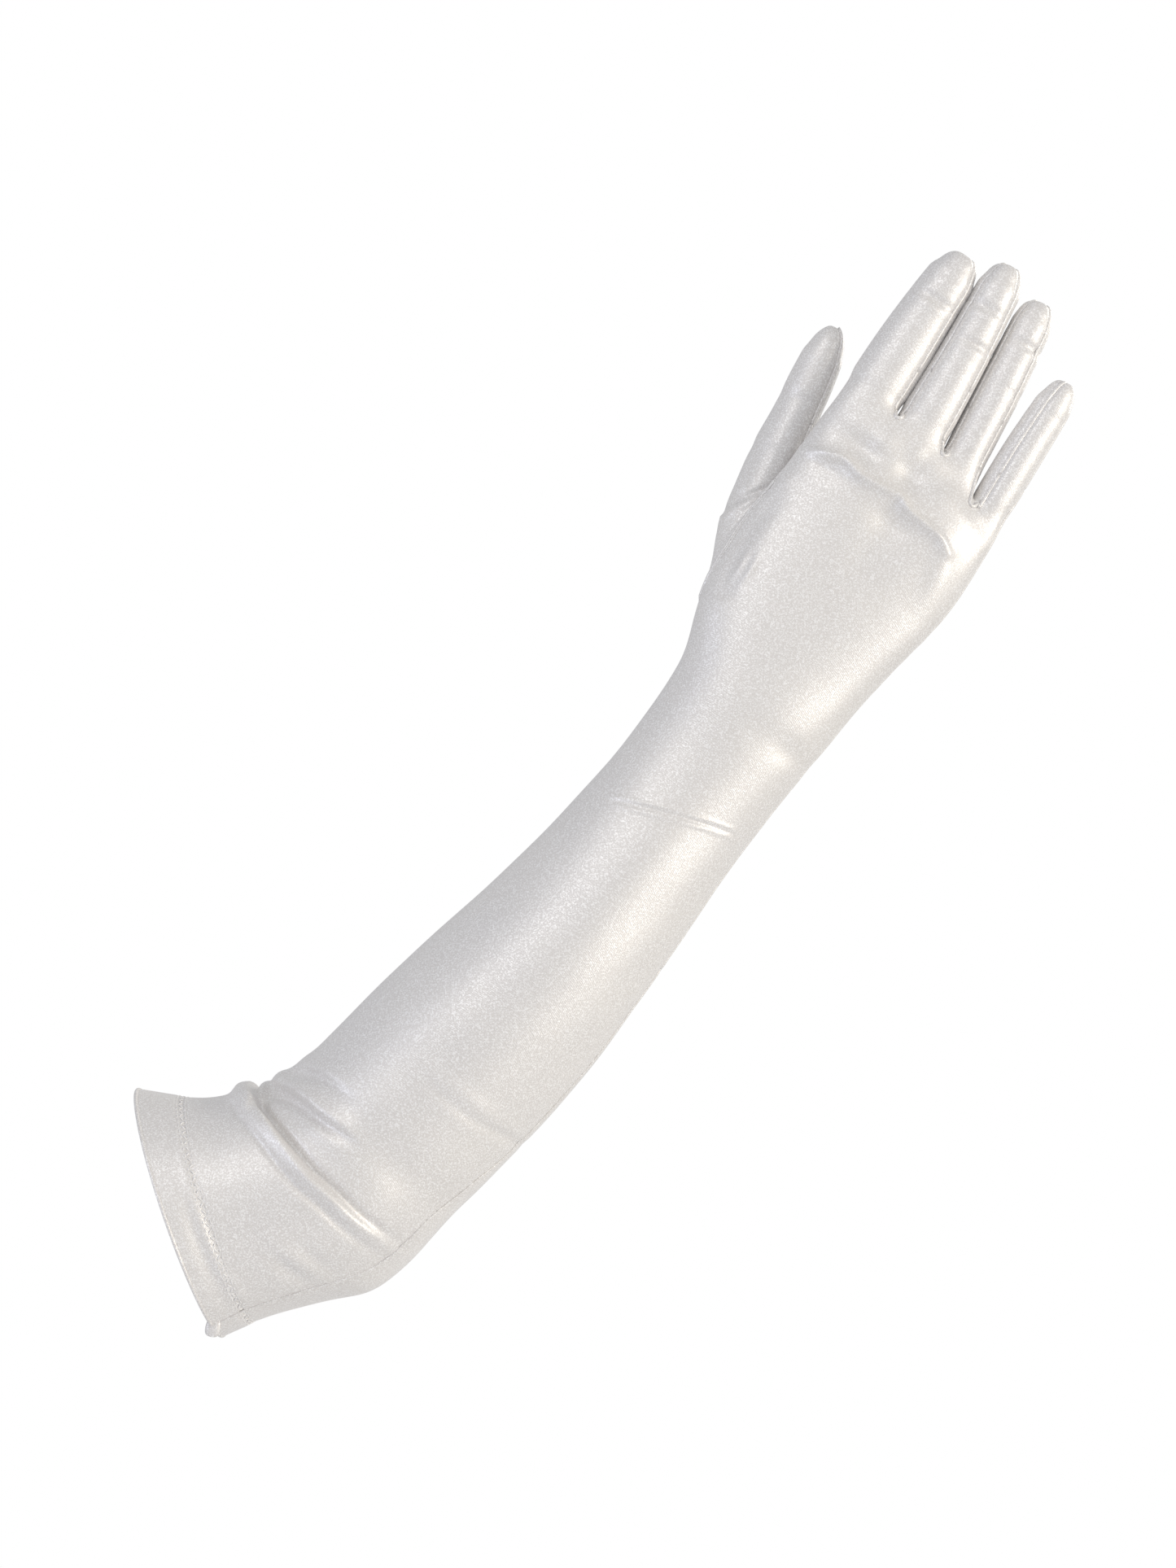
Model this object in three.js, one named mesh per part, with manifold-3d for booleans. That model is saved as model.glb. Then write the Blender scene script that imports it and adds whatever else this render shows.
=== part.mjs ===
// A right-hand opera glove in stretch satin, filled out as it is worn: the sleeve runs from a turned hem above
// the elbow to the wrist, the hand has a set-in thumb, and strips called fourchettes join the backs and palms of
// the fingers. Each piece of cloth is a bent sheet of its own, and the cloth that folds at a joint is a node too.
//
// Millimetres, +Z up. The origin is the middle of the arm opening. The glove lies in the XZ plane with its back
// to -Y and its palm to +Y, the hem at the left and the fingertips at the upper right.

import * as THREE from "three";
import { mergeVertices } from "three/addons/utils/BufferGeometryUtils.js";
import Module from "manifold-3d";

// ---- Cloth and sewing ----
const CLOTH = 0.8; // thickness of the satin with its backing
const GAP = 0.3; // clearance between neighbouring pieces
const HEM_WIDTH = 19; // depth of the turned hem
const SEAM_WIDTH = 2.4; // the raised side seam
const SEAM_HEIGHT = 0.9;
const THUMB_SEAM_WIDTH = 2.8; // the seam where the thumb is set in
const STITCH_WIDTH = 1.2; // the line of stitches that holds the hem
const STITCH_HEIGHT = 0.4;
const STITCH_INSET = 1.6; // from the hem's inner edge to its stitches

// ---- Arm and hand ----
// Each station lies a step on from the last, in the direction of heading. Its section is an ellipse that faces
// along lean, with a width in the XZ plane and a depth along Y. Angles are degrees above +X.
const ARM = [
  { step: 0, heading: 0, lean: 19.6, width: 93, depth: 82 }, // opening
  { step: 20, heading: 5.6, lean: 17, width: 81, depth: 76 },
  { step: 18, heading: 14, lean: 20, width: 80.5, depth: 74 },
  { step: 17.5, heading: 16, lean: 32, width: 81, depth: 74 }, // elbow
  { step: 17.5, heading: 42, lean: 41, width: 77, depth: 74 },
  { step: 21, heading: 45.7, lean: 45, width: 77, depth: 73 },
  { step: 43, heading: 45.5, lean: 47, width: 75.5, depth: 70 },
  { step: 44, heading: 47.6, lean: 49, width: 67, depth: 60 },
  { step: 44, heading: 51, lean: 51.5, width: 59, depth: 48 },
  { step: 31, heading: 52.3, lean: 53, width: 57.5, depth: 42 },
  { step: 30, heading: 53.4, lean: 57, width: 61, depth: 40 }, // wrist
  { step: 15, heading: 63, lean: 60, width: 67.5, depth: 36 },
  { step: 17.5, heading: 58.3, lean: 60, width: 74.5, depth: 32 },
  { step: 30, heading: 51.5, lean: 60, width: 80.5, depth: 28 },
  { step: 28, heading: 55, lean: 60, width: 76, depth: 25 }, // knuckles
  { step: 22, heading: 58, lean: 60, width: 75, depth: 20 },
];
const HAND_BOX = 2.6; // how square the hand's section is, from 2, an ellipse, upwards
const ARM_ROUND = 2;
const BOXY_FROM = 265; // distance along the arm where the section starts to square off
const BOXY_TO = 330;

// ---- Where the sleeve is divided, as distances along the arm ----
const ELBOW_FOLD = [31, 119]; // cloth that folds at the elbow
const WRIST_FOLD = [262, 309]; // cloth that folds at the wrist

// ---- The side seam: [distance along the arm, degrees round the section] ----
const SIDE_SEAM = [
  [0, -16],
  [50, -24],
  [75, -32],
  [130, -18],
  [200, -6],
  [290, 0],
  [400, 0],
];

// ---- Fingers ----
// across and along place the middle of the finger's base, from the knuckles' station in the hand's own frame.
// steps are [length, heading, width at its far end, depth at its far end].
const FINGER_GAP = 0.5;
const FINGERS = [
  {
    name: "index",
    across: -25.2,
    along: 18.6,
    behind: 0,
    lean: 57,
    width: 21.2,
    depth: 17,
    steps: [
      [26, 57.2, 20.4, 16],
      [20, 56.2, 18.2, 15],
      [19, 54.5, 16, 13.5],
    ],
    sides: "outer",
  },
  {
    name: "middle",
    across: -3.7,
    along: 17.4,
    behind: 0,
    lean: 61,
    width: 20.2,
    depth: 17,
    steps: [
      [34, 60, 17.8, 16],
      [18, 62, 16.4, 14.5],
      [19, 62.5, 14.8, 13],
    ],
    sides: "both",
  },
  {
    name: "ring",
    across: 15,
    along: 14.6,
    behind: 3,
    lean: 66,
    width: 15.8,
    depth: 16,
    steps: [
      [31, 62.6, 16.2, 15],
      [17, 63.4, 15.6, 14],
      [20.5, 64, 14.4, 12.5],
    ],
    sides: "both",
  },
  {
    name: "little",
    across: 31.4,
    along: 2.6,
    behind: 2,
    lean: 59,
    width: 14.4,
    depth: 14,
    steps: [
      [28, 59, 14.4, 13.5],
      [15, 57.5, 13.8, 12.5],
      [17, 57, 12.4, 11.5],
    ],
    sides: "inner",
  },
];
const BASE_FOLD = 12; // length of the cloth that folds at a finger's knuckle
const JOINT_FOLD = 11; // the same at its middle joint
const JOINT_SHARE = 0.47; // the middle joint's place along the finger
const DOME = 0.52; // length of the rounded tip, as a share of the finger's last width
const TIP_WIDTH = 0.34; // width left at the very tip, as a share of the same
const FOURCHETTE_HALF = 42; // degrees round the finger from its side to a fourchette's edge
const FOURCHETTE_POINT = 7; // the same where the strip runs to a point
const POINT_LENGTH = 12; // length over which it narrows

// ---- Thumb ----
const THUMB = {
  name: "thumb",
  beside: 1.2, // its base's middle, out from the hand's edge at the knuckles
  along: -61, // and along from the knuckles
  lean: 66,
  width: 11,
  depth: 15,
  steps: [
    [20, 66, 16.5, 20],
    [20, 65.5, 19, 19.5],
    [15, 64.5, 18, 18],
    [14, 64, 16, 16.5],
    [14, 65.5, 15.4, 15],
    [16, 65.5, 13.2, 12.5],
  ],
  behind: [6, 10, 13.5, 14.5, 14.5, 13.5, 12], // how far towards the palm each station lies
};
const THUMB_FOLD = [46, 60]; // cloth that folds at the thumb's knuckle, along the thumb
const THUMB_JOINT = [70, 83]; // and at its end joint
const THUMB_SEAM = [9, 57]; // where its seam lies on the hand, as distances beyond the wrist's fold
const THUMB_SEAM_ANGLE = 189; // degrees round the hand's section
const THUMB_SEAM_LIFT = 0.5; // clearance over the hand's tight corner

// ---- How finely the sheets are divided ----
const ROUND_SLEEVE = 24; // round a sleeve
const ROUND_FINGER = 12; // round a finger
const ROUND_HAND = 16; // across one side of the hand

const degrees = Math.PI / 180;
const lerp = THREE.MathUtils.lerp;
const smoothstep = THREE.MathUtils.smoothstep;
const value = (v, at) => (typeof v === "function" ? v(at) : v);

// The point on a rounded section: power 2 is an ellipse, and a higher one is squarer.
const rounded = (wave, power) => Math.sign(wave) * Math.abs(wave) ** (2 / power);

// The unit vector across a limb that leans that far, towards the little finger's side.
const acrossOf = (lean) => new THREE.Vector3(Math.sin(lean * degrees), 0, -Math.cos(lean * degrees));
const alongOf = (lean) => new THREE.Vector3(Math.cos(lean * degrees), 0, Math.sin(lean * degrees));

// A limb is a bending line with a section at each distance along it.
class Limb {
  constructor(start, stations, { power = () => 2, dome = 0, tipWidth = 0 } = {}) {
    const places = [start.clone()];
    this.distances = [0];
    stations.slice(1).forEach(({ step, heading, behind }) => {
      const next = places.at(-1).clone().addScaledVector(alongOf(heading), step);
      next.y = behind ?? next.y;
      places.push(next);
      this.distances.push(this.distances.at(-1) + step);
    });
    this.length = this.distances.at(-1);
    this.line = new THREE.CatmullRomCurve3(places);
    this.sizes = new THREE.CatmullRomCurve3(
      stations.map(({ width, depth, lean }) => new THREE.Vector3(width / 2, depth / 2, lean)),
      false,
      "catmullrom",
      0.5,
    );
    this.power = power;
    this.dome = dome;
    this.tipWidth = tipWidth;
  }

  // The section at a distance: its centre, half width, half depth and lean.
  section(distance) {
    const last = this.distances.length - 1;
    const held = THREE.MathUtils.clamp(distance, 0, this.length);
    const next = Math.max(1, this.distances.findIndex((d) => d >= held));
    const share = (held - this.distances[next - 1]) / (this.distances[next] - this.distances[next - 1]);
    const at = (next - 1 + share) / last;
    const size = this.sizes.getPoint(at);
    const round = this.dome ? Math.max(0, 1 - (this.length - held) / this.dome) : 0;
    const fall = Math.sqrt(Math.max(0, 1 - round * round));
    return {
      centre: this.line.getPoint(at),
      halfWidth: size.x * lerp(1, lerp(this.tipWidth, 1, fall), this.dome ? 1 : 0),
      halfDepth: Math.max(size.y * fall, this.dome ? CLOTH + GAP / 2 : 0),
      lean: size.z,
    };
  }

  // A point on the limb's surface, moved out by that much. Angle 0 is the little finger's side, 90 the palm,
  // 180 the thumb's side and 270 the back.
  point(distance, angle, out) {
    const { centre, halfWidth, halfDepth, lean } = this.section(distance);
    const power = this.power(distance);
    return centre
      .addScaledVector(acrossOf(lean), (halfWidth + out) * rounded(Math.cos(angle * degrees), power))
      .add(new THREE.Vector3(0, (halfDepth + out) * rounded(Math.sin(angle * degrees), power), 0));
  }

  // The angle that a clearance takes up on this section.
  gapAngle(distance, gap = GAP) {
    const { halfWidth, halfDepth } = this.section(distance);
    return gap / (halfWidth + halfDepth) / degrees;
  }
}

const wasm = await Module();
wasm.setup();

// A closed three.js geometry as a manifold-3d solid, and back.
function solidOf(geometry) {
  const bare = geometry.clone();
  bare.deleteAttribute("normal");
  bare.deleteAttribute("uv");
  const merged = mergeVertices(bare, 1e-3);
  return new wasm.Manifold(
    new wasm.Mesh({
      numProp: 3,
      vertProperties: merged.attributes.position.array,
      triVerts: new Uint32Array(merged.index.array),
    }),
  );
}

function geometryOf(solid) {
  const mesh = solid.getMesh();
  const geometry = new THREE.BufferGeometry();
  geometry.setAttribute("position", new THREE.BufferAttribute(mesh.vertProperties, 3));
  geometry.setIndex(new THREE.BufferAttribute(mesh.triVerts, 1));
  geometry.computeVertexNormals();
  return geometry;
}

// A sheet of cloth bent onto a limb. It runs from one distance and angle to another, and each edge may be a
// number or a function: from and to of the share round the sheet, left and right of the distance along.
function sheet(limb, { from, to, left, right, low = -CLOTH, high = 0, around, along }) {
  const geometry = new THREE.BoxGeometry(1, 1, 1, around, along, 1);
  const position = geometry.attributes.position;
  for (let i = 0; i < position.count; i += 1) {
    const u = position.getX(i) + 0.5;
    const distance = lerp(value(from, u), value(to, u), position.getY(i) + 0.5);
    const angle = lerp(value(left, distance), value(right, distance), u);
    const p = limb.point(distance, angle, lerp(low, high, position.getZ(i) + 0.5));
    position.setXYZ(i, p.x, p.y, p.z);
  }
  geometry.computeVertexNormals();
  return geometry;
}

// A filled stretch of a limb, used only to cut with: out is how far its skin lies from the limb's surface.
function filled(limb, from, to, out, around = 32, along = 16) {
  const geometry = new THREE.CylinderGeometry(1, 1, 1, around, along);
  const position = geometry.attributes.position;
  for (let i = 0; i < position.count; i += 1) {
    const [x, y, z] = [position.getX(i), position.getY(i), position.getZ(i)];
    const share = Math.hypot(x, z);
    const distance = lerp(from, to, y + 0.5);
    const edge = limb.point(distance, Math.atan2(z, x) / degrees, out);
    const p = limb.section(distance).centre.lerp(edge, share);
    position.setXYZ(i, p.x, p.y, p.z);
  }
  const solid = solidOf(geometry);
  return solid.volume() < 0 ? solidOf(geometry.index && flipped(geometry)) : solid;
}

function flipped(geometry) {
  const index = geometry.index.array;
  for (let i = 0; i < index.length; i += 3) [index[i + 1], index[i + 2]] = [index[i + 2], index[i + 1]];
  return geometry;
}

// A cut can leave slivers behind, so only the largest piece is kept.
function largestOf(solid) {
  return geometryOf(solid.decompose().reduce((a, b) => (a.volume() > b.volume() ? a : b)));
}

// ---- Materials ----
const SATIN = new THREE.MeshStandardMaterial({ color: 0xebe9ec, roughness: 0.38, metalness: 0 });
const THREAD = new THREE.MeshStandardMaterial({ color: 0xf4f2f2, roughness: 0.6, metalness: 0 });

const glove = new THREE.Group();

function add(name, geometry, material = SATIN) {
  const mesh = new THREE.Mesh(geometry, material);
  mesh.name = name;
  glove.add(mesh);
}

// ---- The arm's line, and the seam's angle along it ----
const squareness = (d) => lerp(ARM_ROUND, HAND_BOX, smoothstep(d, BOXY_FROM, BOXY_TO));
const arm = new Limb(new THREE.Vector3(0, 0, 0), ARM, { power: squareness });
const KNUCKLES = arm.distances.at(-2);

function seamAngle(distance) {
  const next = SIDE_SEAM.findIndex(([d]) => d > distance);
  const [d0, a0] = SIDE_SEAM[next - 1];
  const [d1, a1] = SIDE_SEAM[next];
  return lerp(a0, a1, smoothstep(distance, d0, d1));
}

// A length of the main piece: it wraps the whole section, and its two edges meet at the side seam.
function wrapped(from, to, { low, along }) {
  return sheet(arm, {
    from,
    to,
    left: (d) => seamAngle(d) + arm.gapAngle(d),
    right: (d) => seamAngle(d) + 360 - arm.gapAngle(d),
    low,
    around: ROUND_SLEEVE,
    along,
  });
}

// The raised seam lies on the cloth along its two edges.
function seamStrip(from, to, along) {
  return sheet(arm, {
    from,
    to,
    left: (d) => seamAngle(d) - arm.gapAngle(d, SEAM_WIDTH),
    right: (d) => seamAngle(d) + arm.gapAngle(d, SEAM_WIDTH),
    low: GAP,
    high: GAP + SEAM_HEIGHT,
    around: 2,
    along,
  });
}

function addSleeve() {
  const [elbowStart, elbowEnd] = ELBOW_FOLD;
  const [wristStart, wristEnd] = WRIST_FOLD;
  add("arm_hem", wrapped(0, HEM_WIDTH, { low: -2 * CLOTH, along: 2 }));
  add("upper_sleeve", wrapped(HEM_WIDTH + GAP, elbowStart, { along: 2 }));
  add("elbow_sleeve", wrapped(elbowStart + GAP, elbowEnd - GAP, { along: 8 }));
  add("forearm_sleeve", wrapped(elbowEnd, wristStart, { along: 6 }));
  add("wrist_sleeve", wrapped(wristStart + GAP, wristEnd - GAP, { along: 4 }));
  add("upper_side_seam", seamStrip(0, elbowStart, 4), THREAD);
  add("elbow_side_seam", seamStrip(elbowStart + GAP, elbowEnd - GAP, 8), THREAD);
  add("forearm_side_seam", seamStrip(elbowEnd, wristStart, 8), THREAD);
  add("wrist_side_seam", seamStrip(wristStart + GAP, wristEnd - GAP, 5), THREAD);
  const stitches = {
    from: HEM_WIDTH - STITCH_INSET - STITCH_WIDTH,
    to: HEM_WIDTH - STITCH_INSET,
    left: (d) => seamAngle(d) + arm.gapAngle(d, SEAM_WIDTH + 2 * GAP),
    right: (d) => seamAngle(d) + 360 - arm.gapAngle(d, SEAM_WIDTH + 2 * GAP),
    low: GAP,
    high: GAP + STITCH_HEIGHT,
    around: ROUND_SLEEVE,
    along: 1,
  };
  add("hem_stitching", sheet(arm, stitches), THREAD);
}

// ---- Thumb ----
const knuckles = arm.section(KNUCKLES);

// A point given across and along the hand from the middle of the knuckles.
function fromKnuckles({ across, along, behind }) {
  const point = knuckles.centre.clone();
  point.addScaledVector(acrossOf(knuckles.lean), across);
  point.addScaledVector(alongOf(knuckles.lean), along);
  point.y = behind;
  return point;
}

const thumb = new Limb(
  fromKnuckles({ across: -knuckles.halfWidth - THUMB.beside, along: THUMB.along, behind: THUMB.behind[0] }),
  [
    { lean: THUMB.lean, width: THUMB.width, depth: THUMB.depth },
    ...THUMB.steps.map(([step, heading, width, depth], i) => ({
      step,
      heading,
      lean: heading,
      width,
      depth,
      behind: THUMB.behind[i + 1],
    })),
  ],
  { dome: DOME * THUMB.steps.at(-1)[2], tipWidth: TIP_WIDTH },
);

// Two halves of a fingertip or thumb tip, back and palm, which meet along both sides and over the end.
function half(limb, from, to, [first, last], gaps, around, along) {
  return sheet(limb, {
    from,
    to,
    left: (d) => first + (gaps[0] ? gaps[0](d) : 0) + limb.gapAngle(d),
    right: (d) => last - (gaps[1] ? gaps[1](d) : 0) - limb.gapAngle(d),
    around,
    along,
  });
}

// The seam along the hand's edge where the thumb is set in, wider and thicker by a margin when it is cut with.
function thumbSeam(margin) {
  const half = (d) => arm.gapAngle(d, THUMB_SEAM_WIDTH + 2 * margin);
  return sheet(arm, {
    from: WRIST_FOLD[1] + THUMB_SEAM[0] - margin,
    to: WRIST_FOLD[1] + THUMB_SEAM[1] + margin,
    left: (d) => THUMB_SEAM_ANGLE - half(d),
    right: (d) => THUMB_SEAM_ANGLE + half(d),
    low: THUMB_SEAM_LIFT - margin,
    high: THUMB_SEAM_LIFT + SEAM_HEIGHT + margin,
    around: 4,
    along: 14,
  });
}

function addThumb() {
  const [foldStart, foldEnd] = THUMB_FOLD;
  const [jointStart, jointEnd] = THUMB_JOINT;
  const handVolume = filled(arm, WRIST_FOLD[0], arm.length, GAP);
  const root = solidOf(half(thumb, 0, foldStart - GAP, [0, 360], [], 16, 6)).subtract(handVolume);
  add("thumb_root", largestOf(root.subtract(solidOf(thumbSeam(GAP)))));
  add("thumb_seam", thumbSeam(0), THREAD);
  add("thumb_fold", half(thumb, foldStart, foldEnd - GAP, [0, 360], [], 16, 2));
  add("thumb_back", half(thumb, foldEnd, jointStart - GAP, [180, 360], [], 6, 1));
  add("thumb_palm", half(thumb, foldEnd, jointStart - GAP, [0, 180], [], 6, 1));
  add("thumb_joint_fold", half(thumb, jointStart, jointEnd - GAP, [0, 360], [], 16, 2));
  add("thumb_tip_back", half(thumb, jointEnd, thumb.length, [180, 360], [], 6, 6));
  add("thumb_tip_palm", half(thumb, jointEnd, thumb.length, [0, 180], [], 6, 6));
}

// ---- Hand ----
// Everything beyond the fingers' bases, as a solid to cut the hand's far edge with. It is drawn across and along
// the hand from the middle of the knuckles.
function beyondTheHand() {
  const corners = FINGERS.flatMap(({ across, along, lean, width }) =>
    [-1, 1].map((side) => {
      const turn = (lean - knuckles.lean) * degrees;
      const reach = (side * width) / 2;
      return new THREE.Vector2(across + reach * Math.cos(turn), along + reach * Math.sin(turn) - GAP);
    }),
  );
  const wide = knuckles.halfWidth * 2;
  const outline = [
    new THREE.Vector2(-wide, corners[0].y),
    ...corners,
    new THREE.Vector2(wide, corners.at(-1).y),
    new THREE.Vector2(wide, wide),
    new THREE.Vector2(-wide, wide),
  ];
  const geometry = new THREE.ExtrudeGeometry(new THREE.Shape(outline), { depth: 2 * wide, bevelEnabled: false });
  geometry.translate(0, 0, -wide);
  const frame = new THREE.Matrix4();
  frame.makeBasis(acrossOf(knuckles.lean), alongOf(knuckles.lean), new THREE.Vector3(0, -1, 0));
  frame.setPosition(knuckles.centre);
  return solidOf(geometry.applyMatrix4(frame));
}

// The back or the palm of the hand, open where the thumb and the fingers join it.
function handSide(start, first, last) {
  const cloth = sheet(arm, {
    from: start,
    to: arm.length,
    left: (d) => first + arm.gapAngle(d),
    right: (d) => last - arm.gapAngle(d),
    around: ROUND_HAND,
    along: 6,
  });
  const thumbHole = filled(thumb, 0, THUMB_FOLD[0], -CLOTH - GAP, 24, 8);
  const thumbFold = filled(thumb, THUMB_FOLD[0] - GAP, THUMB_FOLD[1], GAP, 16, 2);
  return largestOf(solidOf(cloth).subtract(thumbHole).subtract(thumbFold).subtract(beyondTheHand()));
}

function addHand() {
  const start = WRIST_FOLD[1];
  add("hand_back", handSide(start, 180, 360));
  add("hand_palm", handSide(start, 0, 180));
  add("hand_side_seam", seamStrip(start, KNUCKLES, 12), THREAD);
}

// ---- Fingers ----
function fingerLimb({ across, along, behind, lean, width, depth, steps }) {
  const stations = [
    { lean, width, depth },
    ...steps.map(([step, heading, w, d]) => ({ step, heading, lean: heading, width: w, depth: d, behind })),
  ];
  const dome = DOME * steps.at(-1)[2];
  return new Limb(fromKnuckles({ across, along, behind }), stations, { dome, tipWidth: TIP_WIDTH });
}

// The angle from a finger's side to its fourchette's edge: steady, then narrowing to a point at the tip.
const fourchetteEdge = (limb) => (distance) => {
  const end = limb.length - limb.dome;
  return lerp(FOURCHETTE_HALF, FOURCHETTE_POINT, smoothstep(distance, end - POINT_LENGTH, end));
};

function addFourchette(name, limb, from, to, side, along) {
  const edge = fourchetteEdge(limb);
  const strip = {
    from,
    to: Math.min(to, limb.length - limb.dome),
    left: (d) => side - edge(d) + limb.gapAngle(d, 2 * GAP),
    right: (d) => side + edge(d) - limb.gapAngle(d, 2 * GAP),
    around: 3,
    along,
  };
  add(name, sheet(limb, strip));
}

function addFingerStretch(finger, limb, place, from, to, along) {
  const edge = fourchetteEdge(limb);
  const name = (piece) => [finger.name, place, piece].filter(Boolean).join("_");
  if (finger.sides === "outer") {
    add(name("wrap"), half(limb, from, to, [0, 360], [edge, edge], ROUND_FINGER, along));
    addFourchette(name("fourchette"), limb, from, to, 0, along);
    return;
  }
  const outer = finger.sides === "both" ? edge : null;
  add(name("back"), half(limb, from, to, [180, 360], [edge, outer], 6, along));
  add(name("palm"), half(limb, from, to, [0, 180], [outer, edge], 6, along));
  addFourchette(name("fourchette_thumb_side"), limb, from, to, 180, along);
  if (outer) addFourchette(name("fourchette_far_side"), limb, from, to, 0, along);
}

function addFinger(finger) {
  const limb = fingerLimb(finger);
  const joint = limb.length * JOINT_SHARE;
  const [jointStart, jointEnd] = [joint - JOINT_FOLD / 2, joint + JOINT_FOLD / 2];
  add(`${finger.name}_fold`, half(limb, 0, BASE_FOLD - GAP, [0, 360], [], ROUND_FINGER, 2));
  addFingerStretch(finger, limb, "", BASE_FOLD, jointStart - GAP, 1);
  add(`${finger.name}_joint_fold`, half(limb, jointStart, jointEnd - GAP, [0, 360], [], ROUND_FINGER, 2));
  addFingerStretch(finger, limb, "tip", jointEnd, limb.length, 6);
}

addSleeve();
addHand();
addThumb();
FINGERS.forEach(addFinger);

export default glove;
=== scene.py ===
# %% [markdown]
# # A satin opera glove
# An opera glove is a long tube of stretch satin that ends in a hand. It has no stiff part at all: the arm
# inside it gives the shape, and the cloth adds its folds, its seams and its sheen. The lesson builds one
# smooth skin as a low cage, rounds it with a Subdivision Surface, sculpts the folds, cuts it where the
# joints need it, and sews seams and stitches on top. Lengths are in millimetres in the lists and in metres
# on the meshes.

# %% Load the frame
import math

import bmesh
import bpy
import numpy as np
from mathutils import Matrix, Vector
from mathutils.bvhtree import BVHTree


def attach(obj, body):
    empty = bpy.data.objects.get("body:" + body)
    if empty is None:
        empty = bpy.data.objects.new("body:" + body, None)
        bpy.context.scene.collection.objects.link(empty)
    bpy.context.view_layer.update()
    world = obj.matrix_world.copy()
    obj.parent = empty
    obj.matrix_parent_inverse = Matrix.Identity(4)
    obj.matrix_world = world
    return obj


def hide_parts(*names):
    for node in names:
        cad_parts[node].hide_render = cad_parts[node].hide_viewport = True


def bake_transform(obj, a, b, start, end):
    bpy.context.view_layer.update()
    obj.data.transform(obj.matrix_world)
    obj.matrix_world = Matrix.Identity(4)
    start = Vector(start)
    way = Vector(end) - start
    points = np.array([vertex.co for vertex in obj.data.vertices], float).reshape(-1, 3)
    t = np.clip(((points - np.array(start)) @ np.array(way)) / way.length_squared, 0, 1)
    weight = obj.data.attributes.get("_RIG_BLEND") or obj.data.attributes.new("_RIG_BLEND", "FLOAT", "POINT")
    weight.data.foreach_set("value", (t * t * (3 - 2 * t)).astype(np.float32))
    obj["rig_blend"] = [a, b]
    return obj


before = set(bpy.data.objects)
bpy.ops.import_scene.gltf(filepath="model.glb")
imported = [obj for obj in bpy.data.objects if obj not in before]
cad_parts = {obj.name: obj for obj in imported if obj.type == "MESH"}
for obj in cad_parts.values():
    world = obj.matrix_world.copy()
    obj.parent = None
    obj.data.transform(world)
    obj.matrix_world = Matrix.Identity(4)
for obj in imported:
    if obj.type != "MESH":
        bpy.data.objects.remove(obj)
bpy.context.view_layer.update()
MM = 0.001

# %% [markdown]
# ## The light and the camera
# Satin is judged by its highlights, so the lights come before the cloth. A warm soft light from the right
# gives the long pale bands along the arm, a weaker cool one from the left keeps the shaded side open, one
# lies high in front and one behind, so that the edges stay bright. The world is white where it is looked
# at, as in a light tent, and dimmer where it lights the cloth, because an evenly lit white cloth on white
# would show no form at all. Colours are shown as they are, with no film look.

# %% Camera
MIDDLE = Vector((0.1459, 0, 0.1535))
LENS = 85.0
FIELD = 0.5617  # the height that the view takes in at the glove, in metres
away = FIELD * LENS / 36.0


def deselect():
    if bpy.context.object and bpy.context.object.mode != "OBJECT":
        bpy.ops.object.mode_set(mode="OBJECT")
    bpy.ops.object.select_all(action="DESELECT")


deselect()
bpy.ops.object.camera_add(location=(MIDDLE.x, -away, MIDDLE.z), rotation=(math.radians(90), 0, 0))
camera = bpy.context.object
camera.name = "camera"
camera.data.lens = LENS
camera.data.sensor_fit = "VERTICAL"
camera.data.sensor_height = 36.0
bpy.context.scene.camera = camera
bpy.context.scene.view_settings.view_transform = "Standard"
print("camera", round(away, 3), "m away")

# %% World
world = bpy.data.worlds.new("white_studio")
world.use_nodes = True
nodes, links = world.node_tree.nodes, world.node_tree.links
seen = nodes["Background"]
seen.inputs["Color"].default_value = (1, 1, 1, 1)
seen.inputs["Strength"].default_value = 1.0
lighting = nodes.new("ShaderNodeBackground")
lighting.inputs["Color"].default_value = (0.98, 0.985, 1.0, 1)
lighting.inputs["Strength"].default_value = 0.55
path = nodes.new("ShaderNodeLightPath")
either = nodes.new("ShaderNodeMixShader")
links.new(path.outputs["Is Camera Ray"], either.inputs["Fac"])
links.new(lighting.outputs["Background"], either.inputs[1])
links.new(seen.outputs["Background"], either.inputs[2])
links.new(either.outputs["Shader"], nodes["World Output"].inputs["Surface"])
bpy.context.scene.world = world
print("world ready")


# %% Lights
def add_light(name, place, size, power, colour):
    bpy.ops.object.light_add(type="AREA", location=place)
    light = bpy.context.object
    light.name = name
    light.data.shape = "RECTANGLE"
    light.data.size, light.data.size_y = size
    light.data.energy = power
    light.data.color = colour
    light.rotation_euler = (MIDDLE - Vector(place)).to_track_quat("-Z", "Y").to_euler()
    return light


add_light("side_light", (1.75, -0.95, 0.1), (0.8, 0.8), 17, (1.0, 0.93, 0.82))
add_light("front_light", (-0.25, -1.5, 1.25), (0.8, 0.8), 5, (1.0, 0.97, 0.95))
add_light("cool_light", (-1.5, -1.0, 0.3), (0.9, 1.2), 7, (0.82, 0.85, 1.0))
add_light("back_light", (1.5, 1.1, 0.6), (0.9, 0.9), 12, (1.0, 0.96, 0.88))
print("four soft lights")

# %% [markdown]
# ## The floor
# A plain pale floor lies a little below the glove. It is a flat disc, cut from a circle, and wide enough to
# catch the soft shadow when the glove is looked at from above.

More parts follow.
